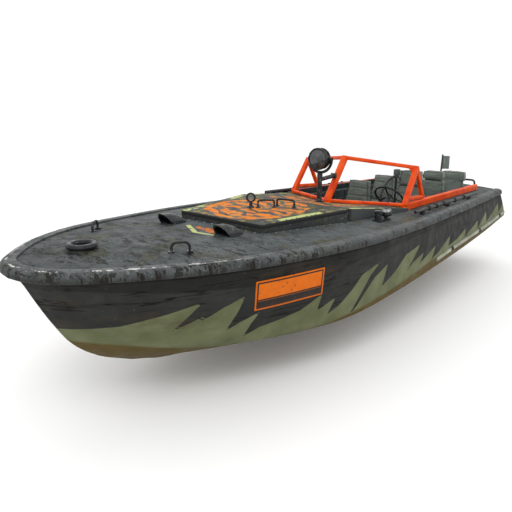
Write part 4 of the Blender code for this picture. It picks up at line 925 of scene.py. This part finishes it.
def deck():
    """One cambered skin over the foredeck, the side decks and the aft deck."""
    inner, outer = 14, 12

    def row(y, open_middle):
        half = max(at_y(GUNWALE, y).x, STEM_HALF)
        q = table(LINER, y) if y >= BOW_END else LINER[0][1] * half / at_y(GUNWALE, BOW_END).x
        xs = [q + (half - q) * i / outer for i in range(outer + 1)]
        if not open_middle:
            xs = [q * i / inner for i in range(inner)] + xs
        return [vec(x, y, deck_z(x, y)) for x in xs]

    bow_ys = [p.y for p in GUNWALE if p.y < -3.0] + spread(-3.0, BOW_END, 0.06)
    aft_ys = spread(AFT_DECK, STERN, 0.06)
    parts = []
    for ys, is_open in ((bow_ys, False), (spread(BOW_END, AFT_DECK, 0.08), True), (aft_ys, False)):
        rows = [row(y, is_open) for y in ys]
        for flip in (False, True):
            verts = [p for r in rows for p in (mirror(r) if flip else r)]
            parts.append((verts, grid_faces(len(rows), len(rows[0]))))
    names = ("foredeck", "side_deck_port", "side_deck_starboard", "aft_deck")
    ob = piece("deck_skin", join(*parts), "deck", smooth=40, replaces=names)
    for p in ob.data.vertices:
        p.co.z += ripple(p.co, DECK_WAVES)
    thicken(ob, DECK, -1 if ob.data.polygons[0].normal.z > 0 else 1)


# Section of the side rails, out and up from the line of the rail; the outer face is between two of its points
RAIL_PROFILE = ((-0.055, -0.006), (-0.053, 0.001), (-0.047, 0.004), (-0.030, 0.0055), (-0.008, 0.005),
                (0.014, 0.003), (0.030, -0.002), (0.043, -0.010), (0.053, -0.022), (0.058, -0.036),
                (0.060, -0.050), (0.058, -0.063), (0.052, -0.070), (0.034, -0.070), (0.033, -0.012),
                (-0.054, -0.012))
FACE_FROM, FACE_TO = 4, 12
STERN_RAIL_PROFILE = ((0.0006, -0.060), (0.0006, 0.0), (0.010, 0.0), (0.024, -0.006), (0.032, -0.018),
                      (0.034, -0.040), (0.032, -0.056), (0.028, -0.060))


def rails():
    for side, name in ((1, "rub_rail_port"), (-1, "rub_rail_starboard")):
        rings, down = [], []
        for i, p in enumerate(RAIL):
            n = outward(RAIL, i)
            ring = []
            for j, (u, w) in enumerate(RAIL_PROFILE):
                at = p + n * u + vec(0, 0, w)
                if FACE_FROM <= j <= FACE_TO:
                    at += n * ripple(at, RAIL_DENTS)
                if i == 0:
                    at.x = 0.0
                ring.append(at)
                down.append(min(max((j - FACE_FROM) / (FACE_TO - FACE_FROM), 0.0), 1.0))
            rings.append(ring if side > 0 else mirror(ring))
        mesh = mesh_of(name + "_skin", *shell(rings))
        write_field(mesh, "down", down)
        bm = bmesh.new()
        bm.from_mesh(mesh)
        bmesh.ops.recalc_face_normals(bm, faces=bm.faces)
        bm.to_mesh(mesh)
        bm.free()
        piece_from(name + "_skin", mesh, "rail", replaces=(name,))
    half = at_y(GUNWALE, STERN).x
    rings = []
    for x in spread(-half, half, 0.08):
        z = deck_z(x, STERN) + 0.006
        rings.append([vec(x, STERN + u, z + w) for u, w in STERN_RAIL_PROFILE])
    piece("rub_rail_stern_skin", shell(rings), "rail", replaces=("rub_rail_stern",))


# Hatch and cowl
def hatch():
    (y0, w0), (y1, w1) = LID_FRONT, LID_AFT
    y1 -= LID_AFT_GAP
    centre = vec(0, (y0 + y1) / 2, 0)
    corners = [vec(-w0, y0, 0), vec(w0, y0, 0), vec(w1, y1, 0), vec(-w1, y1, 0)]

    def outline(inset_by, z, radius=0.018):
        points = []
        for k in range(4):
            p, a, b = corners[k], corners[k - 1], corners[(k + 1) % 4]
            u, v = (a - p).normalized(), (b - p).normalized()
            p = p + (u + v) * inset_by
            points += [p + u * radius * (1 - t) ** 2 + v * radius * t * t for t in (0, 0.25, 0.5, 0.75, 1)]
        return [vec(q.x, q.y, z) for q in points]

    def bolts(counts, out_by, radius, height, on_deck=False):
        """Rows of bolts beside the front edge and the two side edges."""
        parts = []
        for k, count in zip((0, 1, 3), counts):
            a, b = corners[k], corners[(k + 1) % 4]
            out = ((a + b) / 2 - centre).normalized()
            for i in range(count):
                q = a.lerp(b, (i + 0.5) / count) + out * out_by
                z = deck_z(q.x, q.y) if on_deck else LID_Z
                parts.append(bolt((q.x, q.y, z), radius=radius, height=height))
        return join(*parts)

    rows = ((0.003, LID_Z - LID_T), (0.0, LID_Z - LID_T + 0.003), (0.0, LID_Z - 0.007),
            (0.002, LID_Z - 0.002), (0.007, LID_Z), (0.030, LID_Z + 0.0005))
    skin = shell([outline(inset_by, z) for inset_by, z in rows])
    piece("lid_skin", skin, "lid", body="lid", smooth=50, replaces=("hatch_lid",))
    piece("lid_bolts", bolts((8, 9, 9), -0.022, 0.006, 0.004), "dark", body="lid")
    piece("coaming_bolts", bolts((10, 13, 13), 0.030, 0.009, 0.007, on_deck=True), "steel")


# Windscreen frame and cockpit rails
def windscreen():
    low_mid, top_mid = vec(0, 0.235, 0.517), vec(0, 0.585, 0.975)
    out = 0.765                                 # from the middle to the foot of each side bar

    def foot(x, y, low, high, profile):
        ends = [vec(x, y, z) for z in (low + 0.001, high)]
        return shell([ring_at(end, vec(1, 0, 0), vec(0, 1, 0), profile) for end in ends])

    parts = [tube([low_mid - vec(0, 0.004, 0.008), top_mid + vec(0, 0.006, 0.008)],
                  rounded(0.068, 0.060, 0.011), up=(0, 1, 0)),
             foot(0, 0.231, cowl_z(0, 0.23), 0.517, rounded(0.090, 0.052, 0.012))]
    top_path, low_path = [], []
    for s in (1, -1):
        low, top = vec(out * s, 0.628, 0.500), vec(0.745 * s, 0.905, 0.885)
        knee, heel = vec(0.762 * s, 0.672, 0.562), vec(0.740 * s, 1.12, 0.530)
        brace = [heel - vec(0, 0, 0.004), top + vec(0.004 * s, 0, 0)]
        top_path = brace + [top_mid] + top_path if s > 0 else top_path + brace[::-1]
        low_path = [low, low_mid] if s > 0 else low_path + [low]
        parts.append(tube([low - vec(0, 0.006, 0.006), top + vec(0, -0.004, -0.006)],
                          rounded(0.053, 0.060, 0.010), up=(0, 1, 0)))
        parts.append(tube([knee, heel + vec(0, 0.026, -0.001)], rounded(0.042, 0.038, 0.008)))
        # plate in the upper corner
        down, inward = (low - top).normalized(), (top_mid - top).normalized()
        normal = down.cross(inward).normalized() * 0.007
        corner = [top + down * u + inward * v for u, v in ((0.02, 0.02), (0.085, 0.016), (0.016, 0.085))]
        parts.append(shell([[p - normal for p in corner], [p + normal for p in corner]]))
        parts.append(foot(0.745 * s, 0.622, cowl_z(0.745 * s, 0.622), 0.498, rounded(0.080, 0.052, 0.012)))
        parts.append(foot(0.740 * s, 1.115, RAIL_TOP_AT_HEEL, 0.520, rounded(0.044, 0.056, 0.008)))
    parts.append(tube(top_path, rounded(0.048, 0.042, 0.010), up=(0, 0, 1)))
    parts.append(tube(low_path, rounded(0.050, 0.034, 0.009), up=(0, 0, 1)))
    piece("windscreen_skin", join(*parts), "orange", smooth=40, replaces=("windscreen_frame",))
    bolts = [bolt((x, 0.222, 0.517), radius=0.005, height=0.004) for x in (-0.036, 0.036)]
    for s in (1, -1):
        for y in (0.55, 0.42, 0.32):
            x = out * (y - 0.235) / (0.628 - 0.235) * s
            z = 0.517 - 0.017 * abs(x) / out + 0.017
            bolts.append(bolt((x, y - 0.004, z), radius=0.006, height=0.004))
    piece("windscreen_bolts", join(*bolts), "dark")


# Searchlight: rows of (distance aft of the face, distance inside the rim)
DRUM = ((0.016, 0.018), (-0.002, 0.016), (-0.005, 0.010), (-0.003, 0.002), (0.003, 0), (0.020, 0),
        (0.023, 0.003), (0.025, 0.007), (0.060, 0.0085), (0.098, 0.011), (0.118, 0.024), (0.135, 0.041),
        (0.147, 0.062), (0.155, 0.082), (0.158, 0.088), (0.166, 0.090), (0.168, 0.102))
LENS = ((0.012, 0.0175), (0.002, 0.0178), (-0.003, 0.030), (-0.008, 0.055), (-0.011, 0.084), (-0.012, 0.116))
FIN = ((0, 0.012), (0.001, 0.005), (0.003, 0.005), (0.004, 0.012))


def searchlight():
    face, round_steps = -0.0585, 56

    def turned(rows, aft=0.0):
        return lathe(LAMP + vec(0, aft, 0), (0, 1, 0), [(y, LAMP_R - r) for y, r in rows], round_steps)

    drum = turned([(face + y, r) for y, r in DRUM])
    lens = turned([(face + y, r) for y, r in LENS])
    fins = [turned(FIN, face + 0.042 + 0.013 * i) for i in range(4)]
    clips = []
    for k in range(6):
        a = 2 * pi * (k + 0.5) / 6
        reach = LAMP_R - 0.005
        at = LAMP + vec(cos(a) * reach, face - 0.004, sin(a) * reach)
        clips.append(lathe(at, (0, -1, 0), ((0, 0.006), (0.004, 0.006), (0.006, 0.004)), 8))
    eye = ((0, 0.020), (0.002, 0.024), (0.010, 0.024), (0.012, 0.020))
    pins = [lathe(LAMP + vec(s * 0.09, 0, 0), (s, 0, 0), ((0, 0.012), (0.061, 0.012)), 16) for s in (-1, 1)]
    eyes = [lathe(LAMP + vec(s * 0.142, 0, 0), (s, 0, 0), eye, 24) for s in (-1, 1)]
    shape = join(drum, *fins, *clips, *pins)
    piece("searchlight_drum", shape, "dark", body="lamp", replaces=("lamp_drum",))
    piece("searchlight_lens", lens, "glass", body="lamp", replaces=("lamp_lens",))
    angles = [radians(-8 + 196 * k / 40) for k in range(41)]
    half_round = [(0.148 * cos(a), 0.148 * sin(a)) for a in angles]
    arms = ring_at(LAMP, vec(1, 0, 0), vec(0, 0, -1), half_round)
    fork = tube(arms, rounded(0.032, 0.010, 0.004, 2), up=(0, 1, 0))
    foot = ((0, 0.027), (0.010, 0.027), (0.016, 0.020), (0.018, 0.012))
    hub = lathe((LAMP.x, LAMP.y, 0.8385), (0, 0, 1), foot, 24)
    piece("searchlight_fork", join(fork, hub, *eyes), "dark", body="lamp_fork", replaces=("lamp_yoke",))


# Small lamp on the bitt, lashings and flag
DOME = ((0.051, 0.0452), (0.056, 0.0455), (0.062, 0.040), (0.0665, 0.030), (0.070, 0.016), (0.0712, 0.003))
# Lashed poles: start, end as x, y and height over the deck, and the radius
POLES = (("port", (0.990, 0.42, 0.050), (0.905, 2.50, 0.050), 0.018),
         ("starboard", (-0.890, 0.22, 0.075), (-0.865, 2.40, 0.042), 0.023))
LASHINGS = ((0.80, 5), (1.02, 4), (1.25, 5), (1.62, 3), (1.95, 4))          # y, turns


def deck_light():
    """Glass and guard of the small lamp on the bitt."""
    at = vec(0.882, -0.001, deck_z(0.862, -0.075) + 0.044)
    axis = vec(0, -0.25, 1).normalized()
    # the glass is painted bright: a painted reflection of its bowl
    piece("deck_light_glass", lathe(at, axis, DOME, 32), "shine_glass")
    side, top = frame_of(axis)
    guards = []
    for turn in (radians(60 * k) for k in range(3)):
        d = side * cos(turn) + top * sin(turn)
        angles = [radians(a) for a in range(-90, 91, 15)]
        path = [at + axis * (0.050 + 0.0245 * cos(a)) + d * (0.0475 * sin(a)) for a in angles]
        guards.append(tube(path, circle(0.0022, 6)))
    piece("deck_light_guard", join(*guards), "dark")


def lashings():
    """Cord wound round the poles where they lie on their stands."""
    per_turn, pitch, cord = 12, 0.0085, 0.0052
    for tag, start, end, radius in POLES:
        a, b = (vec(x, y, deck_z(x, y) + lift) for x, y, lift in (start, end))
        d = (b - a).normalized()
        side, top = frame_of(d)
        for number, (y, turns) in enumerate(LASHINGS, 1):
            centre = a.lerp(b, (y - a.y) / (b.y - a.y))
            path = []
            for k in range(turns * per_turn + 1):
                turn = 2 * pi * k / per_turn
                r = radius + 0.0055 + 0.003 * noise.noise(centre * 7 + vec(k * 0.31, 0, 0))
                along = d * (pitch * (k / per_turn - turns / 2))
                path.append(centre + along + side * (r * cos(turn)) + top * (r * sin(turn)))
            tail = path[-1]
            path += [tail + d * 0.02 + vec(0, 0, -0.006), tail + d * 0.05 + side * 0.02 + vec(0, 0, -0.016)]
            piece("lashing_%s_%d" % (tag, number), tube(path, circle(cord, 6)), "cord", smooth=60)


def flag():
    """A small cloth on its staff, with a few soft waves along the fly."""
    hoist = 0.20
    hoist_low, up = vec(0, 3.4475, 0.587), vec(0, 0.03, 0.425).normalized() * hoist
    fly, wave_to = vec(0.05, 0.15, -0.012), vec(0.95, -0.3, 0)
    columns, rows = 24, 20
    verts = []
    for r in range(rows + 1):
        for c in range(columns + 1):
            u, v = c / columns, r / rows
            wave = 0.008 * sin(u * 8.0 + v * 1.5) * min(u * 3, 1)
            verts.append(hoist_low + up * v + fly * u + wave_to * wave)
    shape = verts, grid_faces(rows + 1, columns + 1)
    ob = piece("flag_cloth", shape, "canvas", smooth=180, replaces=("flag",))
    width = lengths_along(verts[:columns + 1])[-1]


# Cockpit
def wheel():
    axis = vec(0, sin(WHEEL_TILT), cos(WHEEL_TILT))
    side, top = frame_of(axis)
    hub = ((0, 0.026), (0.050, 0.030), (0.058, 0.034), (0.062, 0.034), (0.066, 0.026))
    parts = [tube(ring_at(WHEEL, side, top, circle(WHEEL_R, 48)), circle(0.012, 10), closed=True),
             lathe(WHEEL - axis * 0.0445, axis, hub, 24)]
    for a in (radians(90 + 120 * k) for k in range(3)):
        d = side * cos(a) + top * sin(a)
        spoke = [WHEEL + d * 0.01, WHEEL + d * (WHEEL_R - 0.004)]
        parts.append(tube(spoke, rounded(0.022, 0.008, 0.003, 2), up=axis))
    piece("wheel_skin", join(*parts), "dark", body="wheel", replaces=("steering_wheel",))


def slab(half, fore, aft, z):
    return [vec(-half, fore, z), vec(half, fore, z), vec(half, aft, z), vec(-half, aft, z)]


def fill_pads():
    """The pads as meshes: remeshed, then swollen as cloth with air inside, each point held to a limit."""
    voxel, frames, air, cloth_mass = 0.008, 20, 4.0, 0.3
    scene = bpy.context.scene
    obs = {}
    for name, rows in PADS.items():
        mesh = mesh_of("pad_" + name, *shell([slab(half, fore, aft, z) for z, half, fore, aft in rows]))
        ob = bpy.data.objects.new("pad_" + name, mesh)
        scene.collection.objects.link(ob)
        remesh = ob.modifiers.new("remesh", "REMESH")
        remesh.mode = "VOXEL"
        remesh.voxel_size = voxel
        fine = bpy.data.meshes.new_from_object(ob.evaluated_get(bpy.context.evaluated_depsgraph_get()))
        ob.modifiers.clear()
        ob.data = fine
        obs[name] = ob
    before = {name: coordinates(ob.data).copy() for name, ob in obs.items()}
    for ob in obs.values():
        cloth = ob.modifiers.new("cloth", "CLOTH")
        cloth.settings.quality = 5
        cloth.settings.mass = cloth_mass
        cloth.settings.use_pressure = True
        cloth.settings.uniform_pressure_force = air
        cloth.settings.effector_weights.gravity = 0
        cloth.point_cache.frame_end = frames
    for f in range(1, frames + 1):
        scene.frame_set(f)
    graph = bpy.context.evaluated_depsgraph_get()
    out = {}
    for name, ob in obs.items():
        swollen = bpy.data.meshes.new_from_object(ob.evaluated_get(graph))
        move = coordinates(swollen) - before[name]
        length = np.linalg.norm(move, axis=1, keepdims=True)
        out[name] = (before[name] + move * np.minimum(1, SWELL[name] / np.maximum(length, 1e-9)), swollen)
        ob.modifiers.clear()
    scene.frame_set(1)
    for ob in obs.values():
        bpy.data.objects.remove(ob, do_unlink=True)
    return out


def edge_loop(kind, mesh):
    """The line where a pad's cover is sewn, round its front or its top, laid on the filled pad."""
    z, half, fore, aft = PADS[kind][-1]
    corners = slab(half, fore, aft, z)
    if kind != "base":
        z_low, half_low, fore_low = PADS[kind][0][:3]
        corners = slab(half_low, fore_low, fore_low, z_low)[:2] + slab(half, fore, fore, z)[2:]
    tree, per_side, lift = tree_of(mesh), 14, 0.001
    path = []
    for a, b in zip(corners, corners[1:] + corners[:1]):
        for k in range(per_side):
            hit, normal = tree.find_nearest(a.lerp(b, k / per_side))[:2]
            path.append(hit + normal * lift)
    return path


PAD_WRINKLES = ((0.0035, 11), (0.0015, 34))
CHANNEL_WIDTH, CHANNEL_DEPTH_PORT, CHANNEL_DEPTH_STARBOARD = 0.009, 0.003, 0.009


def wrinkled(v, kind, place):
    """Where a point of a pad goes: to its seat, with wrinkles, and the sewn channels on a back."""
    p = v.co.copy()
    move = v.normal * ripple(p + place, PAD_WRINKLES)
    if kind == "back":
        depth = CHANNEL_DEPTH_STARBOARD if place.x < 0 else CHANNEL_DEPTH_PORT
        move -= v.normal * (depth * sum(exp(-((p.z - z) / CHANNEL_WIDTH) ** 2) for z in CHANNELS))
    return p + move + place


def seats():
    filled = fill_pads()
    for row, y in enumerate(SEAT_ROWS, 1):
        for tag, x in SEAT_XS:
            name, place = "seat_%s_%d" % (tag, row), vec(x, y, 0)
            for kind in ["base", "back"] + (["head_%d" % row] if x > 0 else []):
                at, source = filled[kind]
                mesh = source.copy()
                mesh.vertices.foreach_set("co", at.astype(np.float32).ravel())
                mesh.update()
                loop = edge_loop(kind, mesh)
                shift = [wrinkled(v, kind, place) for v in mesh.vertices]
                for v, p in zip(mesh.vertices, shift):
                    v.co = p
                gone = (name,) if kind == "base" else ()
                ob = piece_from("%s_%s" % (name, kind), mesh, "canvas", smooth=60, replaces=gone)
                welt = tube([p + place for p in loop], circle(0.0045, 6), closed=True)
                piece("%s_%s_welt" % (name, kind), welt, "welt", smooth=60)


def helm_arm():
    """Curved grab tube beside the helm seat, with a small lamp box on its shoulder."""
    x, y = 0.180, SEAT_ROWS[0]

    def bar(points, profile):
        return tube([(x + dx, y + dy, z) for dx, dy, z in points], profile)

    parts = [bar(((0, -0.44, LOCKER_TOP), (0, -0.44, 0.40), (0, -0.42, 0.49), (0, -0.36, 0.575),
                  (0, -0.26, 0.640), (0, -0.14, 0.675), (0, -0.04, 0.680)), circle(0.017, 12)),
             bar(((0, -0.04, LOCKER_TOP), (0, -0.04, 0.672)), circle(0.013, 12)),
             lathe((x, y - 0.04, 0.655), (0, 0, 1), ((0, 0.018), (0.01, 0.028), (0.03, 0.028), (0.04, 0.016)),
                   16),
             bar(((0.02, -0.03, 0.67), (0.07, -0.02, 0.63), (0.10, 0, 0.56)), rounded(0.040, 0.012, 0.003))]
    for k in range(3):
        parts.append(bar(((0.046, -0.03, 0.68 - 0.022 * k), (0.075, -0.03, 0.668 - 0.022 * k)),
                         rounded(0.045, 0.008, 0.002)))
    piece("helm_arm", join(*parts), "dark")
    box = bar([(0, -0.03, z) for z in (0.692, 0.696, 0.758, 0.762)], rounded(0.088, 0.060, 0.014))
    piece("helm_lamp_box", box, "box")
    ball = ((-0.012, 0.006), (-0.006, 0.013), (0.002, 0.0155), (0.010, 0.012), (0.015, 0.004))
    # the lamp ball carries the same painted reflection
    piece("helm_lamp_ball", lathe((x + 0.004, y - 0.062, 0.676), (0, -0.6, 0.25), ball, 20), "shine_glass")


# Stage
def stage():
    scene = bpy.context.scene
    bpy.ops.mesh.primitive_circle_add(vertices=64, radius=150, fill_type="NGON", location=(0, 0, FLOOR_Z))
    floor = bpy.context.object
    floor.name = "floor"
    p = Paint("floor_paint", 0.9)
    floor.data.materials.append(p.finish(p.mix(p.noise(0.4, 2), (0.94, 0.94, 0.94), (0.955, 0.955, 0.955))))
    scene.world = scene.world or bpy.data.worlds.new("world")
    scene.world.use_nodes = True
    sky = scene.world.node_tree.nodes["Background"]
    sky.inputs["Color"].default_value = (1, 1, 1, 1)
    sky.inputs["Strength"].default_value = WORLD
    for name, place, size, power in LIGHTS:
        light = bpy.data.lights.new(name, "AREA")
        light.size = size
        light.energy = power
        ob = bpy.data.objects.new(name, light)
        ob.location = place
        ob.rotation_euler = (vec(0, 0, 0.2) - Vector(place)).to_track_quat("-Z", "Y").to_euler()
        scene.collection.objects.link(ob)
    camera = bpy.data.cameras.new("camera")
    camera.sensor_width = SENSOR_MM
    camera.lens = FOCAL_PX / IMAGE_PX * SENSOR_MM
    ob = bpy.data.objects.new("camera", camera)
    ob.location = CAMERA_AT
    ob.rotation_euler = (radians(90) - CAMERA_DOWN, 0, CAMERA_TURN)
    scene.collection.objects.link(ob)
    scene.camera = ob
    scene.view_settings.view_transform = "Standard"


stage()
signs(tree_of(hull_skin()))
for build in (liner, spray_rail, deck, rails, hatch, windscreen, searchlight, deck_light, lashings, flag,
              wheel, seats, helm_arm, dress_nodes):
    build()
